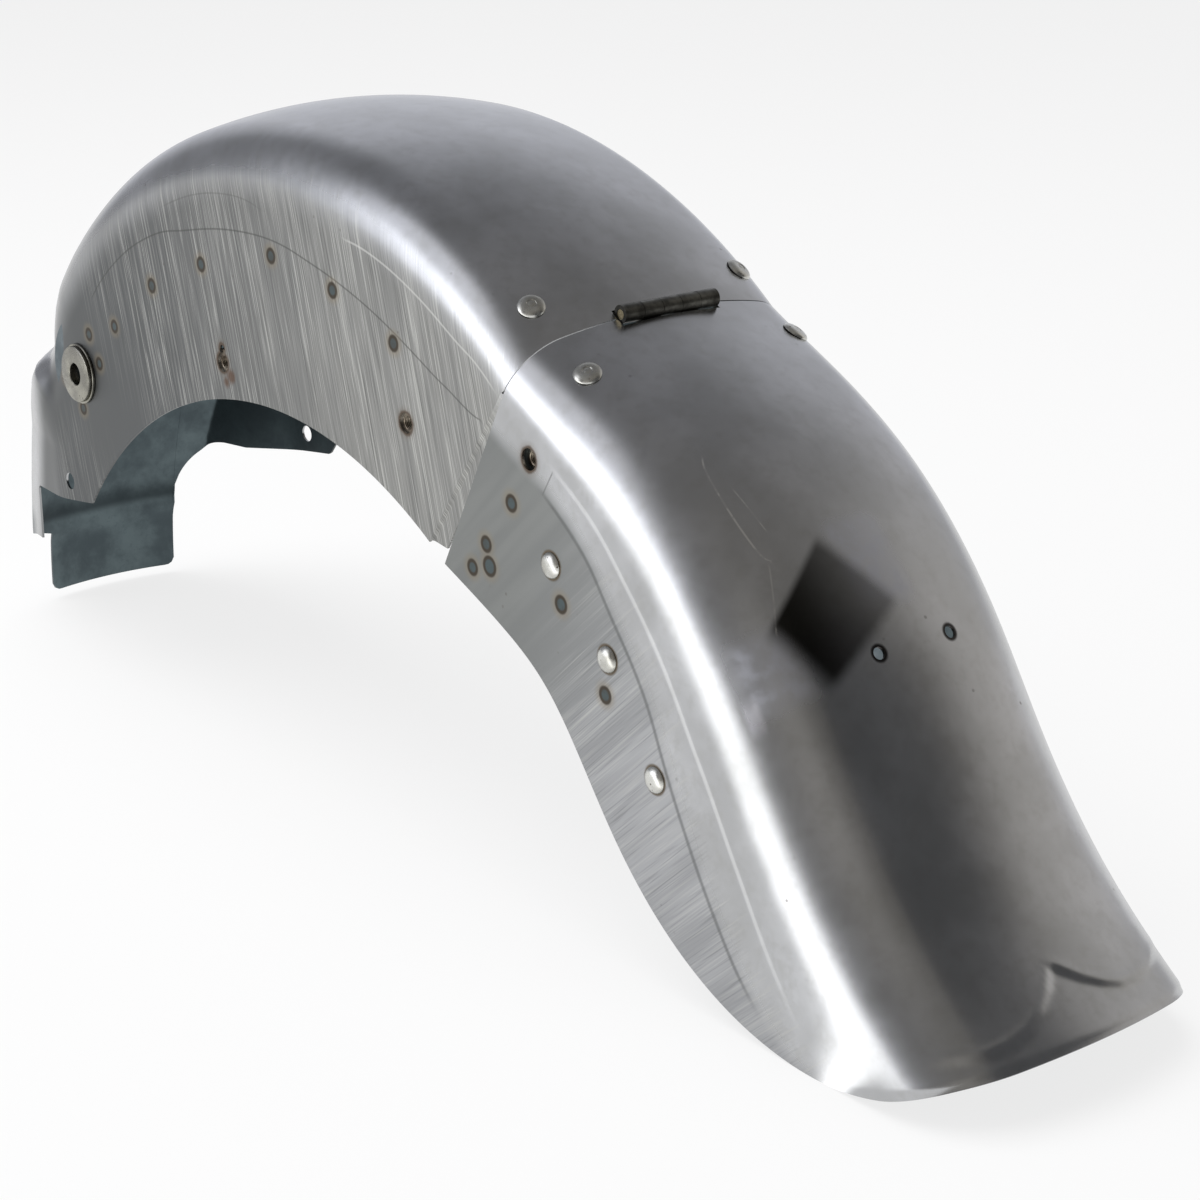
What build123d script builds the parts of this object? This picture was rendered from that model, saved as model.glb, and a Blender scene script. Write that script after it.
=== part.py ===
from build123d import *
import math
import os

# Hinged rear fender of a heavyweight motorcycle, pressed from bare sheet steel.
# Millimetres and degrees. +X runs to the tail, +Y to the machine's right, +Z up.
# Outlines are laid out from a datum near the wheel centre; export moves every piece by
# frame_shift, so that the origin is the middle of the bounding box on the floor.
frame_shift = Vector(-67.2, 0.0, -28.9)

# pressed section, shared by both halves
width = 210.0
half = width / 2
sheet = 1.6
camber_r = 338.0
shoulder_r = 39.0

# front half: one revolved section about a cross axis
crown_x, crown_z, crown_r = -22.5, 39.5, 437.0
wall_start, wall_end = -58.0, -92.0
wall_push, wall_camber, wall_shoulder = 9.0, 215.0, 68.0
side_depth, side_over = 205.0, 25.0
arch_dx, arch_dz, arch_drop = -2.5, -86.5, 102.0
foot_polar = [(-64.81, 149.1), (-75.12, 34.0)]
wall_side_z = 106.0
tab_half, tab_root_z, tab_foot_z, tab_round = 56.0, 86.0, 36.0, 7.0
wall_relief = (67.0, 127.0)

# seam between the halves; the tail's own outlines are laid out from the seam on the crown
seam_angle, seam_tilt = 37.1, 27.4
seam_gap = 0.8
strip_crease = [(-21.6, -38.0), (-95.1, -145.0)]
strip_edge = [(-80.1, -147.0), (-57.1, -111.0), (-45.1, -107.0), (-15.1, -48.0)]
strip_cut = [(-121.1, -184.0), (58.9, -238.0), (58.9, -38.0)]
strip_set = 1.9

# tail half: a section carried down a reverse curve
tail_run = [(0.0, 0.0), (65.9, -28.5), (127.9, -63.0), (204.9, -138.5), (253.9, -211.5), (307.9, -276.0),
            (382.9, -338.0)]
tail_head_start, tail_head_end = 25.0, 38.0
tail_shoulder_end, tail_swell = 55.0, 18.0
tail_camber_end = 290.0
tail_stations, tail_depth = 9, 205.0
tail_foot = [(-81.1, -156.0), (-26.1, -179.0), (12.9, -201.0), (49.9, -240.0), (85.9, -284.0)]
tail_foot_end = [(138.9, -328.0), (190.9, -351.0), (240.9, -359.0), (298.9, -351.0), (338.9, -333.0),
                 (398.9, -308.0)]

# hinge
knuckles = 5
barrel_len, barrel_r, pin_r = 71.5, 5.5, 3.0
barrel_lift = 1.2
pin_play = 0.06
knuckle_gap = 0.3
leaf_t, leaf_reach, leaf_half = 2.0, 46.0, 91.0
notch_clear = 0.9
hinge_rivet_y, hinge_rivet_front, hinge_rivet_rear = 79.0, 26.0, 31.5

# rivets
rivet_head_r, rivet_head_h, rivet_shank_r, rivet_hole_r = 8.3, 3.0, 3.2, 3.25
buck_r, buck_h = 6.0, 2.4
side_rivets = [(23.9, -130.0), (74.9, -172.0), (116.9, -231.0)]
side_head_r, side_head_h = 7.8, 3.2

# side mountings; on the front half each place is an angle and a depth below the crown line
boss_polar = (-50.84, 89.4)
boss_plate_r, boss_plate_t = 22.0, 2.0
boss_face_r, boss_face_t, boss_bore_r = 20.5, 2.6, 8.0
bush_r, bush_len, bush_bore_r = 14.0, 12.0, 6.35
nut_front_polar = [(-13.96, 161.4), (28.19, 129.0)]
nut_tail_run = (3.9, -72.0)
nut_flats, nut_t, nut_bore_r, nut_hole_r = 17.0, 8.0, 4.0, 6.5
stay_depth, stay_w, stay_t = 93.0, 30.0, 2.5
stay_from, stay_to, stay_pad_r = -50.0, 27.0, 41.5
bracket_t = 2.5
bracket_outline = [(-69.1, -152.0), (-49.1, -114.0), (-27.1, -88.0), (-8.1, -58.0), (15.9, -64.0),
                   (34.9, -106.0), (90.9, -152.0), (136.9, -224.0), (124.9, -250.0), (98.9, -246.0),
                   (58.9, -206.0), (20.9, -168.0), (-13.1, -162.0), (-45.1, -164.0)]
bracket_round = 8.0
skirt_hole_polar, skirt_hole_r = (-66.15, 111.7), 6.3
lamp_s, lamp_y, lamp_r = 260.0, 27.0, 3.6


def sind(a):
    return math.sin(math.radians(a))


def cosd(a):
    return math.cos(math.radians(a))


def on_side(angle, depth):
    """Place on a side of the front half: an angle from the top and a depth below the crown line."""
    return crown_x + (crown_r - depth) * sind(angle), crown_z + (crown_r - depth) * cosd(angle)


def from_seam(points):
    """Places laid out from the seam on the crown."""
    return [(seam_x + x, seam_z + z) for x, z in points]


def cross_plane(x, z, heading):
    """Plane square to the crown line: local X is +Y, local Y points out of the crown."""
    return Plane(origin=(x, 0, z), x_dir=(0, 1, 0), z_dir=(cosd(heading), 0, -sind(heading)))


def u_face(plane, inset, depth, shoulder=shoulder_r, camber=camber_r):
    """Closed U outline: cambered crown, two round shoulders, flat sides."""
    cy = half - shoulder
    cz = -camber + math.sqrt((camber - shoulder) ** 2 - cy ** 2)
    lean = math.degrees(math.asin(cy / (camber - shoulder)))
    mid = (lean + 90) / 2
    side = half - inset
    top = ((camber - inset) * sind(lean), -camber + (camber - inset) * cosd(lean))
    bend = (cy + (shoulder - inset) * sind(mid), cz + (shoulder - inset) * cosd(mid))
    line = Curve() + [
        Line((-side, -depth), (-side, cz)),
        ThreePointArc((-side, cz), (-bend[0], bend[1]), (-top[0], top[1])),
        ThreePointArc((-top[0], top[1]), (0, -inset), top),
        ThreePointArc(top, bend, (side, cz)),
        Line((side, cz), (side, -depth)),
        Line((side, -depth), (-side, -depth)),
    ]
    return plane * make_face(line)


def front_fill(inset, depth, start, end):
    x, z = crown_x + crown_r * sind(start), crown_z + crown_r * cosd(start)
    axis = Axis((crown_x, 0, crown_z), (0, 1, 0))
    return revolve(u_face(cross_plane(x, z, start), inset, depth), axis=axis, revolution_arc=end - start)


def wall_fill(inset, depth):
    """Front wall below the revolved crown: it stands further out and is rounder."""
    faces = []
    for t in (0, 0.35, 0.7, 1):
        a = wall_start + (wall_end - wall_start) * t
        ease = t * t * (3 - 2 * t)
        r = crown_r + wall_push * ease
        plane = cross_plane(crown_x + r * sind(a), crown_z + r * cosd(a), a)
        faces.append(u_face(plane, inset, depth, shoulder_r + (wall_shoulder - shoulder_r) * ease,
                            camber_r + (wall_camber - camber_r) * ease))
    return loft(faces)


def tail_line():
    ends = [(cosd(h), 0, -sind(h)) for h in (tail_head_start, tail_head_end)]
    return Spline([(x, 0, z) for x, z in tail_path], tangents=ends)


def tail_fill(inset, depth, spare):
    """Loft down the tail; the shoulders open up towards the lip. Both ends run spare past the path."""
    line = tail_line()
    lead = cross_plane(tail_path[0][0], tail_path[0][1], tail_head_start).offset(-24 - spare)
    faces = [u_face(lead, inset, depth)]
    for i in range(tail_stations):
        t = i / (tail_stations - 1)
        p, d = line @ t, line % t
        heading = math.degrees(math.atan2(-d.Z, d.X))
        shoulder = shoulder_r + (tail_shoulder_end - shoulder_r) * t + tail_swell * sind(180 * t)
        camber = camber_r + (tail_camber_end - camber_r) * t
        faces.append(u_face(cross_plane(p.X, p.Z, heading), inset, depth, shoulder, camber))
    tip = cross_plane(tail_path[-1][0], tail_path[-1][1], tail_head_end).offset(10 + spare)
    faces.append(u_face(tip, inset, depth, shoulder, camber))
    return loft(faces)


def slab(points, low, high):
    """Prism through an outline in the XZ view, between two Y values."""
    face = Plane.XZ * make_face(Polyline(*points, close=True))
    return extrude(face, amount=high - low, dir=(0, 1, 0)).moved(Location((0, low, 0)))


def seam_side(offset, rear):
    """Half space in front of or behind the seam plane, set back by an offset."""
    s = 1 if rear else -1
    out = (s * cosd(seam_tilt), 0, -s * sind(seam_tilt))
    plane = Plane(origin=(seam_x, 0, seam_z), x_dir=(0, 1, 0), z_dir=out)
    return plane * Box(900, 1600, 900, align=(Align.CENTER, Align.CENTER, Align.MIN)).moved(
        Location((0, 0, offset)))


def bore(x, z, r, low, high):
    """Round cutter along Y through a side."""
    return Pos(x, (low + high) / 2, z) * Rot(90, 0, 0) * Cylinder(r, high - low)


def crown_point(x, z, heading, y, shoulder, camber):
    """Point and outward normal on the pressed section at a distance y from the middle."""
    cy = half - shoulder
    cz = -camber + math.sqrt((camber - shoulder) ** 2 - cy ** 2)
    lean = math.degrees(math.asin(cy / (camber - shoulder)))
    if abs(y) <= camber * sind(lean):
        tip = math.degrees(math.asin(y / camber))
        level = -camber + camber * cosd(tip)
    else:
        tip = math.degrees(math.asin((abs(y) - cy) / shoulder)) * (1 if y > 0 else -1)
        level = cz + shoulder * cosd(tip)
    up = Vector(sind(heading), 0, cosd(heading))
    out = Vector(up.X * cosd(tip), sind(tip), up.Z * cosd(tip))
    return Vector(x, y, z) + up * level, out


def rivet(point, out, head_r, head_h, grip, shell, leaf):
    """Low round head outside, plain shank, bucked head inside."""
    place = Plane(origin=point, z_dir=out)
    dome_r = (head_r ** 2 + head_h ** 2) / (2 * head_h)
    dome = Pos(0, 0, head_h - dome_r) * Sphere(dome_r)
    head = dome & Pos(0, 0, head_h / 2 - 0.6) * Cylinder(head_r, head_h + 1.2)
    buck = Pos(0, 0, -grip - buck_h / 2 + 0.5) * Cylinder(buck_r, buck_h + 1.0)
    shank = Pos(0, 0, -grip / 2) * Cylinder(rivet_shank_r, grip + 2.0)
    ends = place * (head + buck) - shell - leaf
    return max((ends + place * shank).solids(), key=lambda s: s.volume)


def hinge_frame():
    """Plane on the hinge axis: local X along +Y, local Y out of the crown."""
    p = cross_plane(seam_x, seam_z, seam_tilt)
    return p * Pos(0, barrel_lift, 0)


def save(name, shape):
    """Move a finished piece into the part's frame and write it."""
    export_step(shape.moved(Location(frame_shift)), f"parts/{name}.step")
    solids = shape.solids()
    print(name, len(solids), round(shape.volume), all(k.is_valid for k in solids))


seam_x, seam_z = on_side(seam_angle, 0)
tail_path = from_seam(tail_run)
skirt_foot = [on_side(*p) for p in foot_polar]
boss_x, boss_z = on_side(*boss_polar)
nut_front = [on_side(*p) for p in nut_front_polar]
nut_tail = from_seam([nut_tail_run])[0]
stay_r = crown_r - stay_depth
arch_x, arch_z, arch_r = crown_x + arch_dx, crown_z + arch_dz, crown_r - arch_drop

os.makedirs("parts", exist_ok=True)

# front shell: revolved section, trimmed by the wheel arch, the skirt foot, the wall and the seam
front_outer = front_fill(0, side_depth, wall_start, seam_angle + 7) + wall_fill(0, side_depth)
front_inner = front_fill(sheet, side_depth + side_over, wall_start, seam_angle + 10)
front_inner += wall_fill(sheet, side_depth + side_over)
front_shell = front_outer - front_inner
front_shell -= Pos(arch_x, 0, arch_z) * Rot(90, 0, 0) * Cylinder(arch_r, width + 40)
under = arch_z - arch_r
front_shell -= slab([skirt_foot[0], skirt_foot[1], (skirt_foot[1][0], under), (skirt_foot[0][0], under)],
                    -half - 20, half + 20)
wall_keep = Curve() + [
    Polyline((half + 20, skirt_foot[1][1] + 3), (half + 20, crown_r + 70), (-half - 20, crown_r + 70),
             (-half - 20, wall_side_z),
             (-tab_half, tab_root_z), (-tab_half, tab_foot_z), (tab_half, tab_foot_z),
             (tab_half, tab_root_z)),
    ThreePointArc((tab_half, tab_root_z), wall_relief, (half - 6, skirt_foot[1][1] + 3)),
    Line((half - 6, skirt_foot[1][1] + 3), (half + 20, skirt_foot[1][1] + 3)),
]
wall_face = make_face(wall_keep)
wall_corners = wall_face.vertices().sort_by(Axis.Y)[:2]
wall_face = fillet(wall_corners, tab_round)
wall_prism = extrude(Plane.YZ * wall_face, amount=1600, both=True)
front_shell = front_shell & wall_prism
front_shell = front_shell & seam_side(seam_gap / 2, rear=False)
crease = from_seam(strip_crease)
crease_cut = crease + from_seam(strip_cut)
for y0, y1 in ((-half - 10, -half + 12), (half - 12, half + 10)):
    front_shell -= slab(crease_cut, y0, y1)
strip = slab(crease + from_seam(strip_edge), -half + strip_set, -half + strip_set + sheet)
joggle = [(x + dx, z) for (x, z), dx in ((crease[0], 1), (crease[1], 1), (crease[1], -3), (crease[0], -3))]
strip += slab(joggle, -half + 0.3, -half + strip_set + sheet)
front_shell = front_shell + strip + strip.mirror(Plane.XZ)

# tail shell: lofted section, trimmed by the seam and by one outline seen from the side
tail_outer = tail_fill(0, tail_depth, 0)
tail_inner = tail_fill(sheet, tail_depth + 10, 8)
tail_shell = (tail_outer - tail_inner) & seam_side(seam_gap / 2, rear=True)
low = from_seam(tail_foot + tail_foot_end)
far = [(low[-1][0] + 80, low[-1][1]), (low[-1][0] + 80, seam_z + 210), (low[0][0], seam_z + 210)]
keep = make_face(Curve() + [Spline(*low), Polyline(low[-1], *far, low[0])])
tail_shell = tail_shell & extrude(Plane.XZ * keep, amount=400, both=True)

# hinge: axis, notch, leaves that follow the crown inside, alternate knuckles, pin
hinge = hinge_frame()
notch = hinge * Pos(0, -barrel_lift, 0) * Box(barrel_len + 2 * notch_clear, 30, 2 * (barrel_r + notch_clear))
front_shell -= notch
tail_shell -= notch
leaf_zone = hinge * Box(2 * leaf_half, 160, 2 * leaf_reach)
leaf_notch = hinge * Box(barrel_len + 2 * notch_clear, 60, 2 * (barrel_r + 0.5))
front_leaf = front_fill(sheet, 60, seam_angle - 9, seam_angle + 7)
front_leaf -= front_fill(sheet + leaf_t, 70, seam_angle - 12, seam_angle + 10)
front_leaf = (front_leaf & leaf_zone & seam_side(seam_gap, rear=False)) - leaf_notch
rear_leaf = tail_inner - tail_fill(sheet + leaf_t, tail_depth + 20, 14)
rear_leaf = (rear_leaf & leaf_zone & seam_side(seam_gap, rear=True)) - leaf_notch
pitch = barrel_len / knuckles
fixed_bore = Cylinder(pin_r, barrel_len + 4, rotation=(0, 90, 0))
loose_bore = Cylinder(pin_r + pin_play, barrel_len + 4, rotation=(0, 90, 0))
web_low = sheet + leaf_t + 3.0
for i in range(knuckles):
    y = (i - (knuckles - 1) / 2) * pitch
    rear = i % 2 == 1
    side = 1 if rear else -1
    long = pitch - knuckle_gap
    tube = Pos(y, 0, 0) * Cylinder(barrel_r, long, rotation=(0, 90, 0))
    web_top = sheet + 0.3
    web = Pos(y, -barrel_lift - (web_low + web_top) / 2, side * (barrel_r + 0.8) / 2)
    web = web * Box(long, web_low - web_top, barrel_r + 0.8)
    foot = Pos(y, -barrel_lift - web_low + 0.7, side * (barrel_r + 2.2)) * Box(long, 1.4, 4.4)
    knuckle = hinge * (tube + web + foot - (loose_bore if rear else fixed_bore))
    if rear:
        rear_leaf += knuckle
    else:
        front_leaf += knuckle
pin = hinge * Cylinder(pin_r, barrel_len - 1.0, rotation=(0, 90, 0))

# hinge rivets, two in each half
front_rivets, rear_rivets = [], []
line = tail_line()
for y in (-hinge_rivet_y, hinge_rivet_y):
    a = seam_angle - math.degrees(hinge_rivet_front / crown_r)
    x, z = crown_x + crown_r * sind(a), crown_z + crown_r * cosd(a)
    front_rivets.append(crown_point(x, z, a, y, shoulder_r, camber_r))
    p = line @ (hinge_rivet_rear / line.length)
    d = line % (hinge_rivet_rear / line.length)
    heading = math.degrees(math.atan2(-d.Z, d.X))
    rear_rivets.append(crown_point(p.X, p.Z, heading, y, shoulder_r + 3, camber_r))
grip = sheet + leaf_t
for point, out in front_rivets:
    hole = Plane(origin=point, z_dir=out) * Cylinder(rivet_hole_r, 24)
    front_shell -= hole
    front_leaf -= hole
for point, out in rear_rivets:
    hole = Plane(origin=point, z_dir=out) * Cylinder(rivet_hole_r, 24)
    tail_shell -= hole
    rear_leaf -= hole
front_heads, rear_heads = [], []
for point, out in front_rivets:
    front_heads.append(rivet(point, out, rivet_head_r, rivet_head_h, grip, front_shell, front_leaf))
for point, out in rear_rivets:
    rear_heads.append(rivet(point, out, rivet_head_r, rivet_head_h, grip, tail_shell, rear_leaf))

# side holes
for x, z in nut_front:
    front_shell -= bore(x, z, nut_hole_r, -half - 5, half + 5)
front_shell -= bore(boss_x, boss_z, boss_bore_r, -half - 5, half + 5)
front_shell -= bore(*on_side(*skirt_hole_polar), skirt_hole_r, -half - 5, half + 5)
tail_shell -= bore(*nut_tail, nut_hole_r, -half - 5, half + 5)
for x, z in from_seam(side_rivets):
    tail_shell -= bore(x, z, rivet_hole_r, -half - 5, half + 5)
t = lamp_s / line.length
p, d = line @ t, line % t
lamp_out = Vector(-d.Z, 0, d.X)
for y in (-lamp_y, lamp_y):
    tail_shell -= Plane(origin=(p.X, y, p.Z), z_dir=lamp_out) * Cylinder(lamp_r, 24)

# left side pieces; the right side gets their mirror images
wall = -half
plate = bore(boss_x, boss_z, boss_plate_r, wall - boss_plate_t, wall)
plate -= bore(boss_x, boss_z, boss_bore_r, wall - 10, wall + 10)
face = bore(boss_x, boss_z, boss_face_r, wall - boss_plate_t - boss_face_t, wall - boss_plate_t)
face -= bore(boss_x, boss_z, boss_bore_r, wall - 10, wall + 10)
inner = wall + sheet
stay_ring = bore(crown_x, crown_z, stay_r + stay_w / 2, inner, inner + stay_t)
stay_ring -= bore(crown_x, crown_z, stay_r - stay_w / 2, inner - 5, inner + 10)
sweep_pts = [(crown_x, crown_z)]
for k in range(5):
    a = stay_from + (stay_to - stay_from) * k / 4
    sweep_pts.append((crown_x + 2 * stay_r * sind(a), crown_z + 2 * stay_r * cosd(a)))
stay = stay_ring & slab(sweep_pts, inner, inner + stay_t)
stay += bore(boss_x, boss_z, stay_pad_r, inner, inner + stay_t)
stay -= bore(boss_x, boss_z, boss_bore_r, inner - 5, inner + 10)
bush = bore(boss_x, boss_z, bush_r, inner + stay_t, inner + stay_t + bush_len)
bush -= bore(boss_x, boss_z, bush_bore_r, inner - 5, inner + 40)


def weld_nut(x, z, seat):
    """Hexagon nut with a plain thread bore, its face on an inner wall."""
    hexagon = RegularPolygon(nut_flats / 2, 6, major_radius=False) - Circle(nut_bore_r)
    nut = extrude(Plane(origin=(x, seat, z), z_dir=(0, 1, 0)) * hexagon, amount=nut_t)
    return nut


nuts_left = [weld_nut(x, z, inner) for x, z in nut_front]
bracket_face = fillet(make_face(Polyline(*from_seam(bracket_outline), close=True)).vertices(), bracket_round)
bracket = extrude(Plane.XZ * bracket_face, amount=bracket_t, dir=(0, 1, 0)).moved(Location((0, inner, 0)))
bracket -= bore(*nut_tail, nut_hole_r, inner - 5, inner + 10)
side_heads = []
for x, z in from_seam(side_rivets):
    bracket -= bore(x, z, rivet_hole_r, inner - 5, inner + 10)
    dome_r = (side_head_r ** 2 + side_head_h ** 2) / (2 * side_head_h)
    dome = Pos(x, wall - side_head_h + dome_r, z) * Sphere(dome_r)
    head = dome & bore(x, z, side_head_r, wall - side_head_h - 1, wall)
    head += bore(x, z, rivet_shank_r, wall - 0.5, inner + bracket_t + 0.5)
    head += bore(x, z, buck_r, inner + bracket_t, inner + bracket_t + buck_h)
    side_heads.append(head)
tail_nut = weld_nut(*nut_tail, inner + bracket_t)


def mirrored(shapes):
    return Compound(children=[s for s in shapes] + [s.mirror(Plane.XZ) for s in shapes])


save("front_shell", front_shell)
save("front_hinge_leaf", front_leaf)
save("hinge_pin", pin)
save("front_hinge_rivets", Compound(children=front_heads))
save("boss_plate_left", plate)
save("boss_plate_right", plate.mirror(Plane.XZ))
save("boss_face_left", face)
save("boss_face_right", face.mirror(Plane.XZ))
save("boss_bush_left", bush)
save("boss_bush_right", bush.mirror(Plane.XZ))
save("side_stay_left", stay)
save("side_stay_right", stay.mirror(Plane.XZ))
save("front_weld_nuts", mirrored(nuts_left))
save("tail_shell", tail_shell)
save("rear_hinge_leaf", rear_leaf)
save("rear_hinge_rivets", Compound(children=rear_heads))
save("tail_bracket_left", bracket)
save("tail_bracket_right", bracket.mirror(Plane.XZ))
save("tail_side_rivets", mirrored(side_heads))
save("tail_weld_nuts", mirrored([tail_nut]))
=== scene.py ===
import math

import bpy
import numpy as np
from mathutils import Matrix, Vector


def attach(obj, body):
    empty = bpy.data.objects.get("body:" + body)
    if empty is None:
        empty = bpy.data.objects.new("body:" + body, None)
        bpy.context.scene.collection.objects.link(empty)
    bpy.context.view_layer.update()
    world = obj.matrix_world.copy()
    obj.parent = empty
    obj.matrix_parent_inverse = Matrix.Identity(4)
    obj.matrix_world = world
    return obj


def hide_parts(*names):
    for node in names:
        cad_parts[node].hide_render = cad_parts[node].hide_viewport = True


# Hinged rear fender pressed from bare sheet steel. Sizes are millimetres in the layout of the
# part's source; place() turns them into metres in the shared frame.
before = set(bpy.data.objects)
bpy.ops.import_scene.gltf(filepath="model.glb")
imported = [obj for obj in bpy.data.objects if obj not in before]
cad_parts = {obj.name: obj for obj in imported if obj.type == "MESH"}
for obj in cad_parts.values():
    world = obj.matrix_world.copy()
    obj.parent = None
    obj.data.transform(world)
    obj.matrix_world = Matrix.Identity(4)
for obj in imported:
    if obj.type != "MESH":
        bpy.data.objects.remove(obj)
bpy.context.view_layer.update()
shift_x, shift_z = -67.2, -28.9

# pressed section and crown line
half, sheet = 105.0, 1.6
camber_r, shoulder_r = 338.0, 39.0
crown_x, crown_z, crown_r = -22.5, 39.5, 437.0
wall_start, wall_end = -58.0, -92.0
wall_push, wall_camber, wall_shoulder = 9.0, 215.0, 68.0
arch_x, arch_z, arch_r = -25.0, -47.0, 335.0
skirt_foot = ((-283.0, 162.0), (-412.0, 143.0))
wall_side_z, tab_half, tab_root_z, tab_foot_z, tab_round = 106.0, 56.0, 86.0, 36.0, 7.0
relief_mid, relief_top = (67.0, 127.0), (99.0, 146.0)
seam_x, seam_z, seam_tilt, seam_gap = 241.1, 388.05, 27.4, 0.8
crease_top, crease_foot = (219.5, 350.0), (146.0, 243.0)
tail_path = [(241.1, 388.05), (307.0, 359.5), (369.0, 325.0), (446.0, 249.5), (495.0, 176.5),
             (549.0, 112.0), (624.0, 50.0)]
tail_foot = [(160.0, 232.0), (215.0, 209.0), (254.0, 187.0), (291.0, 148.0), (327.0, 104.0), (380.0, 60.0),
             (432.0, 37.0), (482.0, 29.0), (540.0, 37.0), (580.0, 55.0), (640.0, 80.0)]
head_start, head_end = 25.0, 38.0
shoulder_end, swell, camber_end = 55.0, 18.0, 290.0
notch_half, notch_reach = 36.65, 6.4

rows_crown, rows_side, crown_side = 20, 66, 60.0
tail_shares = (0.0, 0.42, 0.55, 0.70, 0.80, 1.0)
columns_front, columns_tail, columns_lip = 206, 105, 62
edge_columns, tab_columns, lip_from = 3, 14, 0.78
smooth_angle, punch_long = 34, 30.0

# side pieces, seen from the side in the layout
boss_at, nut_front, nut_tail = (-292.0, 259.0), ((-88.97, 307.0), (122.98, 311.0)), (245.0, 316.05)
skirt_hole_at, side_rivets = (-320.0, 171.0), ((265.0, 258.05), (316.0, 216.05), (358.0, 157.05))
boss_hole_r, skirt_hole_r, nut_hole_r, lobe_r, lobe_up = 8.0, 6.3, 6.5, 3.2, 8.5
hinge_rivet_y, hinge_rivet_front, hinge_rivet_rear = 79.0, (37.1, 26.0), 31.5
strip_edge = ((161.0, 241.05), (184.0, 277.05), (196.0, 281.05), (226.0, 340.05))
strip_set = 1.9


# Plain geometry

def sind(a):
    return np.sin(np.radians(a))


def cosd(a):
    return np.cos(np.radians(a))


def smooth(low, high, x):
    t = np.clip((x - low) / (high - low), 0, 1)
    return t * t * (3 - 2 * t)


def place(x, y, z):
    """Layout millimetres to metres in the shared frame."""
    return np.stack([(x + shift_x) / 1000, y / 1000, (z + shift_z) / 1000], axis=-1)


def smooth_line(points, start=None, end=None, count=1601):
    """Cubic through the points on chord lengths; end directions where they are given."""
    p = np.array(points, float)
    u = np.concatenate([[0], np.cumsum(np.hypot(*np.diff(p, axis=0).T))])
    h, m = np.diff(u), len(p)
    a, b = np.zeros((m, m)), np.zeros((m, 2))
    for i in range(1, m - 1):
        a[i, i - 1:i + 2] = 1 / h[i - 1], 2 / h[i - 1] + 2 / h[i], 1 / h[i]
        b[i] = 3 * ((p[i] - p[i - 1]) / h[i - 1] ** 2 + (p[i + 1] - p[i]) / h[i] ** 2)
    a[0, :2], b[0] = ((2, 1), 3 * (p[1] - p[0]) / h[0]) if start is None else ((1, 0), start)
    a[-1, -2:], b[-1] = ((1, 2), 3 * (p[-1] - p[-2]) / h[-1]) if end is None else ((0, 1), end)
    k = np.linalg.solve(a, b)
    t = np.linspace(0, u[-1], count)
    i = np.clip(np.searchsorted(u, t, side="right") - 1, 0, m - 2)
    x, g = ((t - u[i]) / h[i])[:, None], h[i][:, None]
    line = (1 - x) ** 2 * (1 + 2 * x) * p[i] + x ** 2 * (3 - 2 * x) * p[i + 1]
    line += g * x * (1 - x) ** 2 * k[i] - g * x ** 2 * (1 - x) * k[i + 1]
    return line, np.concatenate([[0], np.cumsum(np.hypot(*np.diff(line, axis=0).T))])


def section_sizes(camber, shoulder):
    cy = half - shoulder
    cz = -camber + np.sqrt((camber - shoulder) ** 2 - cy ** 2)
    lean = np.arcsin(cy / (camber - shoulder))
    return cy, cz, lean, camber * lean, camber * lean + shoulder * (np.pi / 2 - lean)


def on_section(w, camber, shoulder):
    """Sideways place, height under the crown and lean of the sheet, w mm round from the middle."""
    cy, cz, lean, w1, w2 = section_sizes(camber, shoulder)
    a = np.abs(w)
    lean_at = np.where(a < w1, a / camber, np.where(a < w2, lean + (a - w1) / shoulder, np.pi / 2))
    y = np.where(a < w1, camber * np.sin(lean_at), np.where(a < w2, cy + shoulder * np.sin(lean_at), half))
    h = np.where(a < w1, camber * np.cos(lean_at) - camber,
                 np.where(a < w2, cz + shoulder * np.cos(lean_at), cz - (a - w2)))
    return np.sign(w) * y, h, lean_at * np.sign(w)


def round_of_side(y, camber, shoulder):
    """Distance round the section at a sideways place y."""
    cy, _, lean, w1, _ = section_sizes(camber, shoulder)
    a = np.abs(y)
    near = camber * np.arcsin(np.clip(a / camber, 0, 1))
    far = w1 + shoulder * (np.arcsin(np.clip((a - cy) / shoulder, -1, 1)) - lean)
    return np.sign(y) * np.where(a < camber * np.sin(lean), near, far)


def round_of_depth(d, camber, shoulder):
    """Distance round the section at a depth d below the crown."""
    _, cz, lean, w1, w2 = section_sizes(camber, shoulder)
    bend = w1 + shoulder * (np.arccos(np.clip((-d - cz) / shoulder, -1, 1)) - lean)
    return np.where(d > -cz, w2 + d + cz, bend)


def front_sizes(a):
    t = np.clip((wall_start - a) / (wall_start - wall_end), 0, 1.2)
    ease = t * t * (3 - 2 * t)
    return (crown_r + wall_push * ease, camber_r + (wall_camber - camber_r) * ease,
            shoulder_r + (wall_shoulder - shoulder_r) * ease)


def front_point(a, w):
    """Point and outward direction on the front half at an angle from the top."""
    r, camber, shoulder = front_sizes(a)
    y, h, lean = on_section(w, camber, shoulder)
    out = np.stack([sind(a) * np.cos(lean), np.sin(lean), cosd(a) * np.cos(lean)], axis=-1)
    return crown_x + (r + h) * sind(a), y, crown_z + (r + h) * cosd(a), out


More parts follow.
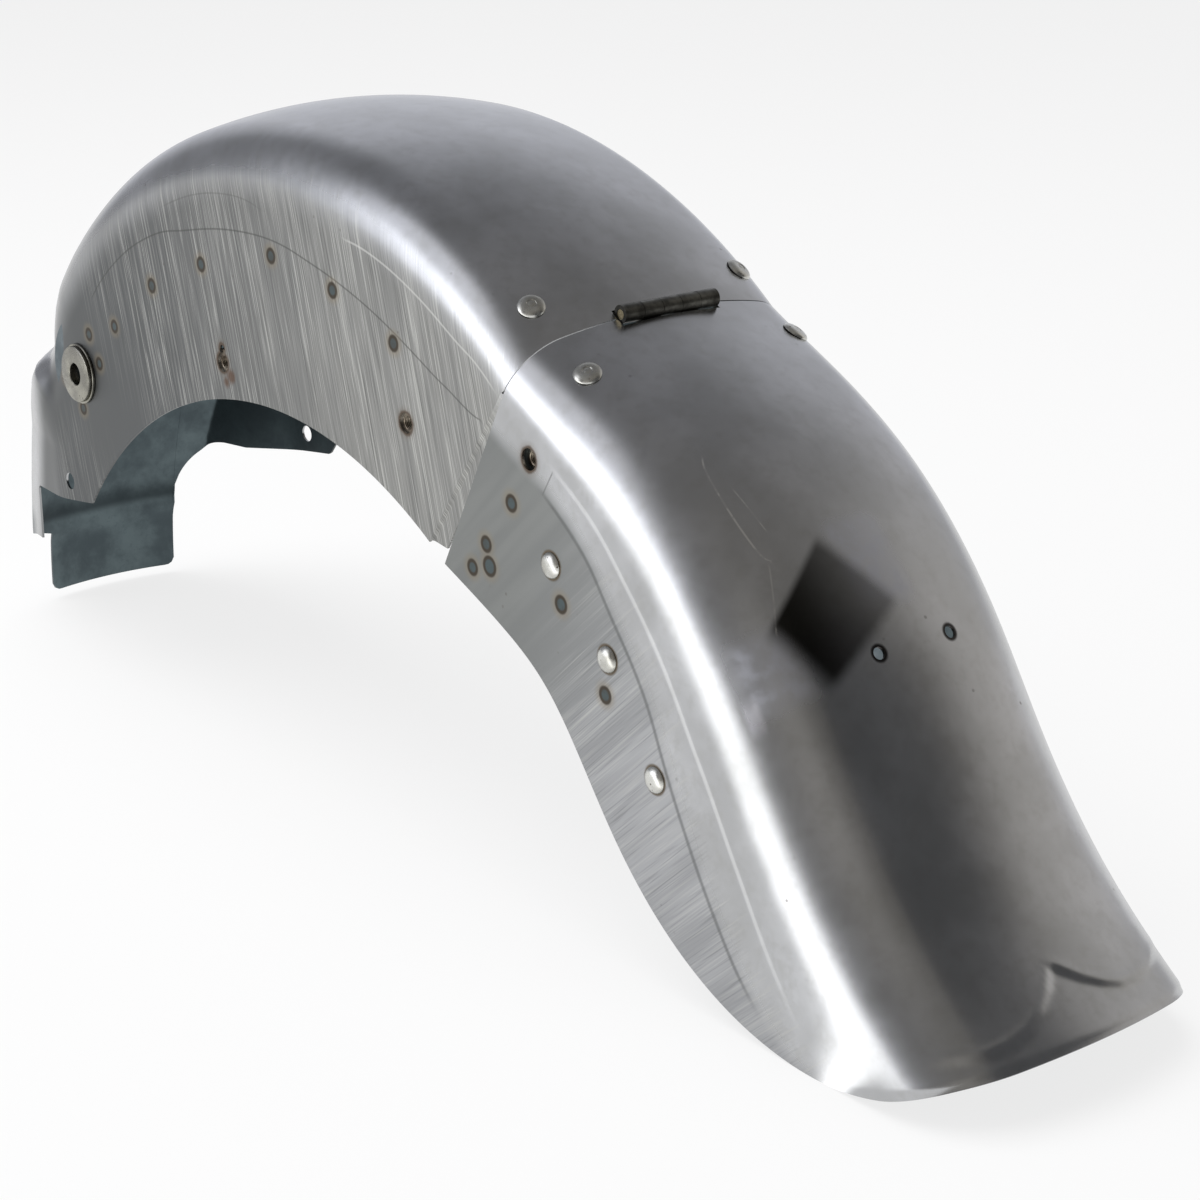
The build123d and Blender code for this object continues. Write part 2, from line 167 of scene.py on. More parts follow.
def front_foot(a):
    """Distance round to the lower edge of the skirt at an angle from the top."""
    r, camber, shoulder = front_sizes(a)
    dx, dz = crown_x - arch_x, crown_z - arch_z
    along = dx * sind(a) + dz * cosd(a)
    rho = -along + np.sqrt(along ** 2 - dx ** 2 - dz ** 2 + arch_r ** 2)
    (x0, z0), (x1, z1) = skirt_foot
    nx, nz = z1 - z0, x0 - x1
    slope = nx * sind(a) + nz * cosd(a)
    flat = -(nx * (crown_x - x0) + nz * (crown_z - z0)) / np.where(np.abs(slope) < 1, 1, slope)
    rho = np.where(a < -60, np.maximum(rho, flat), rho)
    corner = math.degrees(math.atan2(x1 - crown_x, z1 - crown_z))
    rho = np.where(a < corner, (x1 - crown_x) / sind(np.minimum(a, -30)), rho)
    return round_of_depth(r - rho, camber, shoulder)


tail_line, tail_run = smooth_line(tail_path, (cosd(head_start), -sind(head_start)),
                                  (cosd(head_end), -sind(head_end)))
tail_long = tail_run[-1]
tail_heading = np.degrees(np.arctan2(-np.gradient(tail_line[:, 1]), np.gradient(tail_line[:, 0])))


def tail_sizes(s):
    t = np.clip(s / tail_long, 0, 1)
    camber = camber_r + (camber_end - camber_r) * t
    shoulder = shoulder_r + (shoulder_end - shoulder_r) * t + swell * sind(180 * t)
    return camber, shoulder


def tail_crown(s):
    heading = np.interp(s, tail_run, tail_heading)
    over = s - np.clip(s, 0, tail_long)
    x = np.interp(s, tail_run, tail_line[:, 0]) + over * cosd(heading)
    z = np.interp(s, tail_run, tail_line[:, 1]) - over * sind(heading)
    return x, z, heading


def tail_point(s, w):
    """Point and outward direction on the tail half, s mm along its crown."""
    x, z, heading = tail_crown(s)
    y, h, lean = on_section(w, *tail_sizes(s))
    out = np.stack([sind(heading) * np.cos(lean), np.sin(lean), cosd(heading) * np.cos(lean)], axis=-1)
    return x + h * sind(heading), y, z + h * cosd(heading), out


def tail_place(x, z):
    """Distance along the tail and depth below its crown of a point seen from the side."""
    low, high = np.full(np.shape(x), -60.0), np.full(np.shape(x), 640.0)
    for _ in range(40):
        mid = (low + high) / 2
        cx, cz, heading = tail_crown(mid)
        ahead = (x - cx) * cosd(heading) - (z - cz) * sind(heading) > 0
        low, high = np.where(ahead, mid, low), np.where(ahead, high, mid)
    cx, cz, heading = tail_crown(low)
    return low, -((x - cx) * sind(heading) + (z - cz) * cosd(heading))


foot_line, _ = smooth_line(tail_foot, (cosd(22), -sind(22)), (cosd(14), sind(14)))
foot_corner = int(np.argmin(foot_line[:, 1]))
foot_s, foot_d = tail_place(foot_line[:foot_corner + 1, 0], foot_line[:foot_corner + 1, 1])


def tail_foot_round(s):
    d = np.interp(s, foot_s, foot_d)
    return round_of_depth(d, *tail_sizes(s))


# The two pressed shells

# lines read off the metal as (along, round) in millimetres; those of the band are mirrored
band_high = ((50, 136), (96, 139.7), (148, 147.6), (208, 152.5), (266, 156.1), (304, 156.2), (345, 158.1),
             (379, 162), (430, 168))
band_low = ((50, 155), (98, 161.3), (155, 173), (223, 179.8), (283, 187.5), (323, 190.5), (357, 192.6),
            (385, 193.6), (430, 184))
band_rise, band_fall, band_soft, band_crisp = 0.42, 0.2, 2.8, 1.0
# the lip's last millimetres turned under; what keeps every face just inside the CAD form
hem_width, hem_turn = 6.0, 1.8
sheet_inset, foot_lift = 0.1, 0.16
wing_line = ((-130, 452), (-91, 466.4), (-81, 470.9), (-70, 474.7), (-57, 475.2), (-42.5, 472.2),
             (-29.6, 466.1), (-17.8, 457.3), (-8.5, 446.1), (-1.7, 452.1), (5.8, 458.4), (17.2, 465.1),
             (29.5, 469.5), (43.9, 469.7), (57.6, 466.7), (68.3, 461.6), (100, 448))
corner_crease = ((155, -335), (191, -337), (210, -349), (226, -356), (231, -359), (262, -388), (285, -420))
corner_turn, corner_kink = 0.25, 1.2
wing_deep, wing_lip = 1.1, 0.4
flare = ((-62.0, 0.0), (-60.3, 1.2), (-59.4, 5.0), (-58.4, 9.5), (-57.2, 11.2), (-55.9, 10.6), (-53.8, 7.2),
         (-50.7, 3.0), (-48.0, 0.6), (-44, 0))


def row_plan(extra):
    """Rows across the sheet: crown rows keep a sideways place, side rows share out the rest."""
    y = list(np.linspace(0, crown_side, rows_crown + 1))
    for e in extra:
        y += [e - 0.05, e + 0.05]
    right = [(v, 0.0) for v in sorted(y)] + [(crown_side, k / rows_side) for k in range(1, rows_side + 1)]
    return np.array([(-v, -f) for v, f in reversed(right[1:])] + right)


def limit(inside, start, end, rows):
    """Last place from start towards end at which each row is still inside."""
    a, b = np.full(rows, float(start)), np.full(rows, float(end))
    for _ in range(36):
        mid = (a + b) / 2
        ok = inside(mid)
        a, b = np.where(ok, mid, a), np.where(ok, b, mid)
    return a


def behind_seam(x, z):
    return (x - seam_x) * cosd(seam_tilt) - (z - seam_z) * sind(seam_tilt)


def press_sheet(name, runs, plan, point, rounds, worked, kept, scale):
    """A grid laid over the pressed form: one column per entry of runs, one row per row of the plan."""
    columns, rows = len(runs) - 1, len(plan) - 1
    bpy.ops.object.select_all(action="DESELECT")
    bpy.ops.mesh.primitive_grid_add(x_subdivisions=columns, y_subdivisions=rows, size=2, location=(0, 0, 0))
    obj = bpy.context.object
    obj.name = obj.data.name = name
    mesh = obj.data
    flat = np.empty(len(mesh.vertices) * 3)
    mesh.vertices.foreach_get("co", flat)
    flat = flat.reshape(-1, 3)
    i = np.rint((flat[:, 0] + 1) / 2 * columns).astype(int)
    j = np.rint((flat[:, 1] + 1) / 2 * rows).astype(int)
    along = runs[i, j]
    w = rounds(along, j)
    mesh.vertices.foreach_set("co", place(*worked(along, w, *point(along, w))).ravel())
    corners = np.empty(len(mesh.loops), dtype=np.int32)
    mesh.loops.foreach_get("vertex_index", corners)
    uv = np.stack([along * scale, w / 1000], axis=-1)[corners]
    mesh.uv_layers[0].name = "sheet"
    mesh.uv_layers[0].data.foreach_set("uv", uv.ravel())
    mesh.update()
    low = np.array([(i[list(p.vertices)].min(), j[list(p.vertices)].min()) for p in mesh.polygons])
    bpy.ops.object.mode_set(mode="EDIT")
    bpy.ops.mesh.select_mode(type="FACE")
    bpy.ops.mesh.select_all(action="DESELECT")
    bpy.ops.object.mode_set(mode="OBJECT")
    mesh.polygons.foreach_set("select", ~kept(low[:, 0], low[:, 1]))
    bpy.ops.object.mode_set(mode="EDIT")
    bpy.ops.mesh.delete(type="FACE")
    bpy.ops.mesh.select_all(action="SELECT")
    bpy.ops.mesh.remove_doubles(threshold=0.00003)
    bpy.ops.mesh.normals_make_consistent(inside=False)
    bpy.ops.object.mode_set(mode="OBJECT")
    if max(mesh.polygons, key=lambda p: p.center.z).normal.z < 0:
        bpy.ops.object.mode_set(mode="EDIT")
        bpy.ops.mesh.flip_normals()
        bpy.ops.object.mode_set(mode="OBJECT")
    return obj


def wall_bottom(y):
    """Height of the front wall's lower edge beside the tab: level on the left, hollowed on the right."""
    left = tab_root_z + (wall_side_z - tab_root_z) * np.clip((-y - tab_half) / (125 - tab_half), 0, 1)
    (x1, z1), (x2, z2), (x3, z3) = (tab_half, tab_root_z), relief_mid, relief_top
    d = 2 * (x1 * (z2 - z3) + x2 * (z3 - z1) + x3 * (z1 - z2))
    q1, q2, q3 = x1 ** 2 + z1 ** 2, x2 ** 2 + z2 ** 2, x3 ** 2 + z3 ** 2
    cx = (q1 * (z2 - z3) + q2 * (z3 - z1) + q3 * (z1 - z2)) / d
    cz = (q1 * (x3 - x2) + q2 * (x1 - x3) + q3 * (x2 - x1)) / d
    r = math.hypot(x1 - cx, z1 - cz)
    arc = cz + np.sqrt(np.maximum(r * r - (np.clip(y, x1, x3) - cx) ** 2, 0))
    return np.where(y > tab_half, np.where(y > x3, z3, arc), np.where(y < -tab_half, left, tab_root_z))


def tab_bottom(y):
    over = np.clip(np.abs(y) - (tab_half - tab_round), 0, tab_round)
    return tab_foot_z + tab_round - np.sqrt(tab_round ** 2 - over ** 2)


def trace(points, at):
    return np.interp(at, [p[0] for p in points], [p[1] for p in points])


def front_worked(a, w, x, y, z, out):
    """Dressed corners of the front half: the flare under the shoulder and the facet below it."""
    side = np.abs(w)
    inward = trace(flare, a) * smooth(50, 96, side) * (1 - smooth(112, 160, side))
    x, y, z = x - out[:, 0] * inward, y - out[:, 1] * inward, z - out[:, 2] * inward
    plane = half - corner_turn * (trace(corner_crease, z) - x)
    gap = np.abs(np.abs(y) - plane)
    blend = np.clip(1 - gap / 4, 0, 1) ** 2
    cut = np.minimum(np.abs(y), plane) - blend
    use = (x < -300) & (z < 285)
    y = np.where(use, np.sign(y) * np.maximum(cut, 0), y)
    kink = corner_kink * smooth(96, 88, z) * (1 - smooth(88, 78, z))
    x, y, z = x - out[:, 0] * sheet_inset, y - out[:, 1] * sheet_inset, z - out[:, 2] * sheet_inset
    return x + kink * (x < -380), y, z + foot_lift * (1 - smooth(2, 10, z + shift_z))


def tail_worked(s, w, x, y, z, out):
    """Pressed band on the skirt, drawn wing line over the lip, and the hem that turns the lip under."""
    side = np.abs(w)
    foot = tail_foot_round(np.minimum(s, foot_s[-1]))
    high = trace(band_high, s)
    low = np.minimum(trace(band_low, s), crown_side + 0.93 * (foot - crown_side))
    step_in = smooth(-band_soft, band_soft, side - high)
    step_out = 1 - smooth(-band_crisp, band_crisp, side - low)
    share = np.clip((side - high) / np.maximum(low - high, 1), 0, 1)
    lift = (band_rise + (band_fall - band_rise) * share) * step_in * step_out
    lift *= smooth(-2.5, 2.5, s - (54 - 0.16 * (side - 136))) * (1 - smooth(392, 432, s))
    past = s - trace(wing_line, w)
    reach = smooth(112, 64, w) * smooth(-116, -72, w)
    lift -= wing_deep * smooth(-3.0, 5.0, past) * reach
    lift += wing_lip * np.exp(-(past / 3.0) ** 2) * reach
    lift -= sheet_inset
    x, y, z = x + out[:, 0] * lift, y + out[:, 1] * lift, z + out[:, 2] * lift
    over_lip = z - np.interp(x, foot_line[foot_corner:, 0], foot_line[foot_corner:, 1])
    hem = hem_turn * (1 - smooth(0, hem_width, over_lip)) * smooth(15, 70, x - foot_line[foot_corner, 0])
    return x - out[:, 0] * hem, y - out[:, 1] * hem, z + foot_lift * (1 - smooth(2, 10, z + shift_z))


def front_sheet_mesh():
    plan = row_plan([notch_half, tab_half])
    every = np.arange(len(plan))

    def rounds(a, j):
        _, camber, shoulder = front_sizes(a)
        edge = round_of_side(crown_side, camber, shoulder)
        inner = round_of_side(np.abs(plan[j, 0]), camber, shoulder)
        w = np.where(plan[j, 1] == 0, inner, edge + np.abs(plan[j, 1]) * (front_foot(a) - edge))
        return w * np.sign(plan[j, 0] + plan[j, 1])

    def before_seam(back):
        def ok(a):
            x, y, z, _ = front_point(a, rounds(a, every))
            (x0, z0), (x1, z1) = crease_top, crease_foot
            left = (x - x0) * (z1 - z0) - (z - z0) * (x1 - x0)
            return (behind_seam(x, z) <= -back) & ((np.abs(y) < 93) | (z > z0) | (left > 0))
        return ok

    def above(level):
        def ok(a):
            _, y, z, _ = front_point(a, rounds(a, every))
            return z >= level(y)
        return ok

    seam = limit(before_seam(seam_gap / 2), 20, 46, len(plan))
    set_back = limit(before_seam(notch_reach), 20, 46, len(plan))
    in_notch = (np.abs(plan[:, 0]) < notch_half) & (plan[:, 1] == 0)
    seam = np.where(in_notch, set_back, seam)
    wall = limit(above(wall_bottom), -58, -92, len(plan))
    foot = limit(above(tab_bottom), -58, -94, len(plan))
    foot = np.where((np.abs(plan[:, 0]) < tab_half) & (plan[:, 1] == 0), foot, wall)
    long = columns_front - edge_columns - tab_columns
    runs = [seam + (set_back - seam) * k / edge_columns for k in range(edge_columns)]
    runs += [set_back + (wall - set_back) * k / long for k in range(long)]
    runs += [wall + (foot - wall) * k / tab_columns for k in range(tab_columns + 1)]
    mids = np.abs(plan[:-1, 0] + plan[1:, 0]) / 2
    notch_rows, tab_rows = np.abs(mids - notch_half) < 0.02, np.abs(mids - tab_half) < 0.02

    def kept(i, j):
        return ~((i < edge_columns) & notch_rows[j] | (i >= edge_columns + long) & tab_rows[j])

    return press_sheet("front_sheet", np.array(runs), plan, front_point, rounds, front_worked, kept,
                       math.radians(1) * crown_r / 1000)


def tail_sheet_mesh():
    plan = row_plan([notch_half])
    every = np.arange(len(plan))
    s_corner = foot_s[-1]
    share = np.abs(plan[:, 1])

    def rounds(s, j):
        camber, shoulder = tail_sizes(s)
        edge = round_of_side(crown_side, camber, shoulder)
        inner = round_of_side(np.abs(plan[j, 0]), camber, shoulder)
        foot = tail_foot_round(np.minimum(s, s_corner))
        high = np.minimum(trace(band_high, s), edge + 0.80 * (foot - edge))
        low = np.minimum(trace(band_low, s), edge + 0.93 * (foot - edge))
        low = np.maximum(low, high + 5)
        knots = [edge, high - 3, high + 3, low - 1.4, low + 1.4, foot]
        w = edge
        for k in range(len(knots) - 1):
            t = (share[j] - tail_shares[k]) / (tail_shares[k + 1] - tail_shares[k])
            w = np.where(t > 0, knots[k] + (knots[k + 1] - knots[k]) * t, w)
        return np.where(plan[j, 1] == 0, inner, w) * np.sign(plan[j, 0] + plan[j, 1])

    def after_seam(back):
        def ok(s):
            x, _, z, _ = tail_point(s, rounds(s, every))
            return behind_seam(x, z) >= back
        return ok

    def over_lip(s):
        x, _, z, _ = tail_point(s, rounds(s, every))
        lip = np.interp(x, foot_line[foot_corner:, 0], foot_line[foot_corner:, 1])
        return (x < foot_line[foot_corner, 0]) | (z >= lip)

    seam = limit(after_seam(seam_gap / 2), 60, -40, len(plan))
    set_back = limit(after_seam(notch_reach), 60, -40, len(plan))
    in_notch = (np.abs(plan[:, 0]) < notch_half) & (plan[:, 1] == 0)
    seam = np.where(in_notch, set_back, seam)
    lip = limit(over_lip, s_corner - 1, 600, len(plan))
    runs = [seam + (set_back - seam) * k / edge_columns for k in range(edge_columns)]
    shares = [lip_from * k / columns_tail for k in range(columns_tail)]
    shares += [lip_from + (1 - lip_from) * k / columns_lip for k in range(columns_lip + 1)]
    runs += [set_back + (lip - set_back) * far for far in shares]
    notch_rows = np.abs(np.abs(plan[:-1, 0] + plan[1:, 0]) / 2 - notch_half) < 0.02

    def kept(i, j):
        return ~((i < edge_columns) & notch_rows[j])

    return press_sheet("tail_sheet", np.array(runs), plan, tail_point, rounds, tail_worked, kept, 1 / 1000)


def modify(obj, kind, **settings):
    bpy.context.view_layer.objects.active = obj
    mod = obj.modifiers.new(kind.lower(), kind)
    for key, value in settings.items():
        setattr(mod, key, value)
    bpy.ops.object.modifier_apply(modifier=mod.name)


def joined(objs, name):
    bpy.ops.object.select_all(action="DESELECT")
    for obj in objs:
        obj.select_set(True)
    bpy.context.view_layer.objects.active = objs[0]
    if len(objs) > 1:
        bpy.ops.object.join()
    objs[0].name = objs[0].data.name = name
    return objs[0]


def punch(spot, direction, radius):
    """Round cutter through the sheet at a layout place."""
    centre = place(*[np.array(float(v)) for v in spot])
    turn = Vector(direction).to_track_quat("Z", "X")
    bpy.ops.object.select_all(action="DESELECT")
    bpy.ops.mesh.primitive_cylinder_add(vertices=40, radius=radius / 1000, depth=punch_long / 1000,
                                        location=centre, rotation=turn.to_euler())
    return bpy.context.object


def cut_away(obj, cutters):
    tool = joined(cutters, obj.name + "_punch")
    bpy.ops.object.transform_apply(location=True, rotation=True, scale=True)
    modify(obj, "BOOLEAN", object=tool, operation="DIFFERENCE", solver="EXACT")
    bpy.data.objects.remove(tool, do_unlink=True)


def settle(obj, body, node, materials=()):
    """Smooth shading, body, slot and the CAD nodes that a finished piece stands for."""
    bpy.ops.object.select_all(action="DESELECT")
    obj.select_set(True)
    bpy.context.view_layer.objects.active = obj
    bpy.ops.object.transform_apply(location=True, rotation=True, scale=True)
    bpy.ops.object.shade_smooth_by_angle(angle=math.radians(smooth_angle))
    if materials:
        obj.data.materials.clear()
        for mat in materials:
            obj.data.materials.append(mat)
    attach(obj, body)
    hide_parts(node)


def set_in_strip(side):
    """Set-in strip that the tail's skirt edge lies over, with the joggle along its front edge."""
    stations, across, crowding = 24, 10, 2.2
    joggle_top, joggle_wide, sheet_row = 0.15, 2.6, 75
    bpy.ops.object.select_all(action="DESELECT")
    bpy.ops.mesh.primitive_grid_add(x_subdivisions=stations, y_subdivisions=across, size=2,
                                    location=(0, 0, 0))
    obj = bpy.context.object
    near = np.array([crease_top, crease_foot])
    far = np.array(strip_edge[::-1])
    far_run = np.concatenate([[0], np.cumsum(np.hypot(*np.diff(far, axis=0).T))])
    for v in obj.data.vertices:
        t, k = (v.co.x + 1) / 2, (v.co.y + 1) / 2
        k = k ** crowding
        x0, z0 = near[0] + (near[1] - near[0]) * t
        x1, z1 = [np.interp(t * far_run[-1], far_run, far[:, c]) for c in (0, 1)]
        x, z = x0 + (x1 - x0) * k, z0 + (z1 - z0) * k
        from_edge = k * math.hypot(x1 - x0, z1 - z0)
        deep = joggle_top + (strip_set - joggle_top) * float(smooth(0.0, joggle_wide, from_edge))
        v.co = place(np.array(x), np.array(side * (half - deep)), np.array(z))
    obj.data.uv_layers[0].name = "sheet"
    flow = math.radians(1) * crown_r / 1000
    for loop in obj.data.loops:
        co = obj.data.vertices[loop.vertex_index].co
        x, z = co.x * 1000 - shift_x - crown_x, co.z * 1000 - shift_z - crown_z
        depth = crown_r - math.hypot(x, z)
        obj.data.uv_layers[0].data[loop.index].uv = (math.degrees(math.atan2(x, z)) * flow,
                                                     side * (depth + sheet_row) / 1000)
    bpy.ops.object.mode_set(mode="EDIT")
    bpy.ops.mesh.select_all(action="SELECT")
    if obj.data.polygons[0].normal.y * side < 0:
        bpy.ops.mesh.flip_normals()
    bpy.ops.object.mode_set(mode="OBJECT")
    modify(obj, "SOLIDIFY", thickness=sheet / 1000, offset=-1)
    for mat in (front_steel, inside_steel):
        obj.data.materials.append(mat)
    return obj


def turned(name, rings, steps=48):
    """Round piece: a ring of vertices extruded along a profile of (radius, height) pairs in millimetres."""
    bpy.ops.object.select_all(action="DESELECT")
    bpy.ops.mesh.primitive_circle_add(vertices=steps, radius=rings[0][0] / 1000, location=(0, 0, 0))
    obj = bpy.context.object
    obj.name = obj.data.name = name
    bpy.ops.object.mode_set(mode="EDIT")
    bpy.ops.mesh.select_mode(type="VERT")
    bpy.ops.mesh.select_all(action="SELECT")
    bpy.ops.transform.translate(value=(0, 0, rings[0][1] / 1000))
    for (r0, z0), (r1, z1) in zip(rings, rings[1:]):
        bpy.ops.mesh.extrude_region_move(TRANSFORM_OT_translate={"value": (0, 0, (z1 - z0) / 1000)})
        bpy.ops.transform.resize(value=(r1 / r0, r1 / r0, 1), center_override=(0, 0, 0))
    bpy.ops.mesh.select_all(action="SELECT")
    bpy.ops.mesh.remove_doubles(threshold=0.00002)
    bpy.ops.mesh.normals_make_consistent(inside=False)
    bpy.ops.object.mode_set(mode="OBJECT")
    return obj


def set_on(obj, spot, out):
    """Stands a turned piece on a layout place, its axis along a direction, and fixes it in its mesh."""
    turn = Vector(out).to_track_quat("Z", "X").to_matrix().to_4x4()
    centre = Vector([float(v) for v in place(*[np.array(float(c)) for c in spot])])
    obj.data.transform(Matrix.Translation(centre) @ turn)
    obj.data.update()


def copy_of(obj, name):
    twin = obj.copy()
    twin.data = obj.data.copy()
    twin.name = twin.data.name = name
    bpy.context.collection.objects.link(twin)
    return twin


# Finishes

def linear(hexcode):
    """sRGB hex to the linear colour a shader socket takes."""
    v = [int(hexcode[k:k + 2], 16) / 255 for k in (1, 3, 5)]
    return tuple(c / 12.92 if c <= 0.04045 else ((c + 0.055) / 1.055) ** 2.4 for c in v) + (1.0,)


# settings of a range that eases in and out, and of a mix of two colours
eased = {"interpolation_type": "SMOOTHSTEP"}
blended = {"out": 2, "data_type": "RGBA"}


def add(tree, kind, inputs=(), out=0, points=(), **settings):
    """Adds a node with its settings; each input takes a value or a link. Gives the output asked for."""
    node = tree.nodes.new("ShaderNode" + kind)
    for key, value in settings.items():
        setattr(node, key, value)
    for key, value in (inputs.items() if isinstance(inputs, dict) else enumerate(inputs)):
        if isinstance(value, bpy.types.NodeSocket):
            tree.links.new(value, node.inputs[key])
        else:
            node.inputs[key].default_value = value
    if points:
        curve = node.mapping.curves[0]
        for at in points[1:-1]:
            curve.points.new(*at)
        for dot, at in zip((curve.points[0], curve.points[-1]), (points[0], points[-1])):
            dot.location = at
        node.mapping.update()
    return node.outputs[out] if len(node.outputs) else node


def finish(colour, roughness, bump):
    """Closes a bare metal on one shader."""
    tree = colour.id_data
    metal = add(tree, "BsdfPrincipled",
                {"Base Color": colour, "Roughness": roughness, "Metallic": 1.0, "Normal": bump})
    add(tree, "OutputMaterial", (metal,))


def new_material(name):
    mat = bpy.data.materials.new(name)
    mat.use_nodes = True
    mat.node_tree.nodes.clear()
    return mat, mat.node_tree


def where_all(tree, first, *masks):
    """How far all the masks cover a spot."""
    for mask in masks:
        first = add(tree, "Math", (first, mask), operation="MULTIPLY")
    return first


def laid_over(tree, colour, shade, *masks):
    """A colour with another one over it, as far as all the masks let it through."""
    return add(tree, "Mix", {0: where_all(tree, *masks), 6: colour, 7: linear(shade)}, **blended)


def nearest(tree, flat, places):
    """Metres from a layout place seen from the side to the edge of the nearest round mark."""
    best = None
    for x, z, r in places:
        centre = ((x + shift_x) / 1000, 0, (z + shift_z) / 1000)
        gap = add(tree, "VectorMath", (flat, centre), out=1, operation="DISTANCE")
        gap = add(tree, "Math", (gap, r / 1000), operation="SUBTRACT")
        best = gap if best is None else add(tree, "Math", (best, gap), operation="MINIMUM")
    return best


def along_line(tree, u, w, points):
    """Metres round the sheet from a line given as (along, round) millimetres, past its ends as well."""
    lo, hi = points[0][0], points[-1][0]
    w_lo, w_hi = min(p[1] for p in points) - 1, max(p[1] for p in points) + 1
    scaled = [((p[0] - lo) / (hi - lo), (p[1] - w_lo) / (w_hi - w_lo)) for p in points]
    at = add(tree, "MapRange", {"Value": u, "From Min": lo / 1000, "From Max": hi / 1000})
    line = add(tree, "FloatCurve", {"Value": at}, points=scaled)
    line = add(tree, "MapRange", {"Value": line, "To Min": w_lo / 1000, "To Max": w_hi / 1000})
    return add(tree, "Math", (w, line), operation="SUBTRACT")


def window(tree, u, start, end, ease):
    """1 between two distances along the sheet in millimetres, with soft ends."""
    first = add(tree, "MapRange", (u, (start - ease) / 1000, (start + ease) / 1000), **eased)
    last = add(tree, "MapRange", (u, (end - ease) / 1000, (end + ease) / 1000, 1.0, 0.0), **eased)
    return where_all(tree, first, last)


def thin(tree, gap, wide):
    """1 on a line and 0 beside it, for a line of a width in millimetres."""
    off = add(tree, "Math", (gap,), operation="ABSOLUTE")
    return add(tree, "MapRange", (off, wide * 0.25 / 1000, wide / 1000, 1.0, 0.0), **eased)


# painted lines along the front skirt's pressed step, painted shade below it and a painted highlight above it,
# as (degrees from the top, millimetres round), with where they begin and end in degrees, how softly they do
# so, their width (0.8 to 1 mm, so that they show), colour and strength
arc = math.radians(1) * crown_r
long_step_shade = ((-41, 147), (-33.5, 144.7), (-24.6, 146.8), (-15.9, 153.8), (-7.8, 156.6), (0, 158.7),
               (9.2, 163.8), (18.3, 165.9), (25.6, 166), (32.6, 161.8), (37.4, 153.7))
step_highlight = ((12.95, 135.4), (18.6, 132.4), (25.1, 131.9), (30, 131.9), (34.8, 129.1), (36.9, 129.2))
faint_step_shade = ((-20, 132.7), (-10.7, 132.5), (-1.6, 141.1))
painted_step_lines = ((long_step_shade, -41, 37.5, 6, 0.9, "#4E4F4C", 0.62),
           (step_highlight, 13, 36.9, 9, 1.0, "#D6D6D2", 0.5),
           (faint_step_shade, -20, -2, 12, 0.8, "#5C5D5A", 0.35))

# round marks as (x, z, radius) in the layout
front_spots = [(-179, 343, 4.6), (-111, 369, 4.6), (-23, 389, 4.6), (47, 379, 4.6), (112, 358, 4.6),
               (-236, 304, 4.2), (-275, 291, 4.2), (-262, 272, 4.2), (-291, 233, 4.2), (-317, 252, 4.0)]
tail_spots = [(228, 286, 4.8), (203, 255, 4.6), (189, 237, 4.6), (206, 242, 5.8), (274, 237, 5.0),
              (314, 194, 4.8)]
front_burns = [(x, z, nut_hole_r) for x, z in nut_front] + [(-89, 316, lobe_r)]
tail_burns = [(*nut_tail, nut_hole_r)]
front_rust = [(-79.0, 299.0, 2.0), (-85.0, 294.0, 0.6)]
rivet_rims = [(x, z, 7.8) for x, z in side_rivets]

# the buffed pad: corners as (along, round) millimetres, each with the softness of the edge that it starts
pad_corners = ((229.2, -82.2, 3.0), (189.5, -31.4, 6.0), (236.0, -0.6, 5.0), (271.4, -62.6, 8.0))
pad_scratches = ((((119, -63.2), (149, -69.2), (174, -69.0), (193, -63.8)), 0.9, 0.75),
                 (((146, -60.0), (176, -57.0)), 0.8, 0.45), (((196, -66.0), (232, -79.0)), 0.8, 0.35))
lamp_x, lamp_z, lamp_heading = (float(v) for v in tail_crown(np.array(261.0)))
lamp_out = (float(sind(lamp_heading)), 0.0, float(cosd(lamp_heading)))
lamp_y, lamp_hole_r = 27.0, 3.6


def sanding(tree, at, signed, run, cross):
    """Scratches of hand sanding in one direction: fine ones about 0.8 mm across and 67 mm long, coarser
    than real so that they show, broad ones of 1.8 mm, and patches of 17 mm where the hand pressed harder."""
    sideways = add(tree, "Math", (signed, 2.0), operation="MULTIPLY")
    lines = []
    for across_per_metre, along_per_metre in ((1300, 15), (560, 9), (60, 5)):
        across = add(tree, "VectorMath", (at, tuple(c * across_per_metre for c in cross)), out=1,
                     operation="DOT_PRODUCT")
        along = add(tree, "VectorMath", (at, tuple(c * along_per_metre for c in run)), out=1,
                    operation="DOT_PRODUCT")
        spot = add(tree, "CombineXYZ", (across, along, sideways))
        lines.append(add(tree, "TexNoise", {"Vector": spot, "Scale": 1.0, "Detail": 2.0, "Roughness": 0.6}))
    return lines


def front_flats(tree, u, w, ragged):
    """The front skirts: where they are sanded, where the flat begins, and how it pales to the rear."""
    along = add(tree, "Math", (u, ragged), operation="ADD")
    start = add(tree, "MapRange", (along, -0.345, -0.262), **eased)
    top = add(tree, "MapRange", (add(tree, "Math", (w, ragged), operation="ADD"), 0.104, 0.137), **eased)
    corner = where_all(tree, add(tree, "MapRange", (along, -0.40, -0.47, 0.0, 0.55), **eased),
                       add(tree, "MapRange", (w, 0.15, 0.19), **eased))
    sanded = add(tree, "Math", (where_all(tree, start, top), corner), operation="MAXIMUM")
    side = add(tree, "MapRange", (w, 0.104, 0.142), **eased)
    back = add(tree, "MapRange", (u, -0.36, 0.24), **eased)
    flats = add(tree, "Mix", {0: back, 6: linear("#5F6161"), 7: linear("#92928F")}, **blended)
    return sanded, side, flats


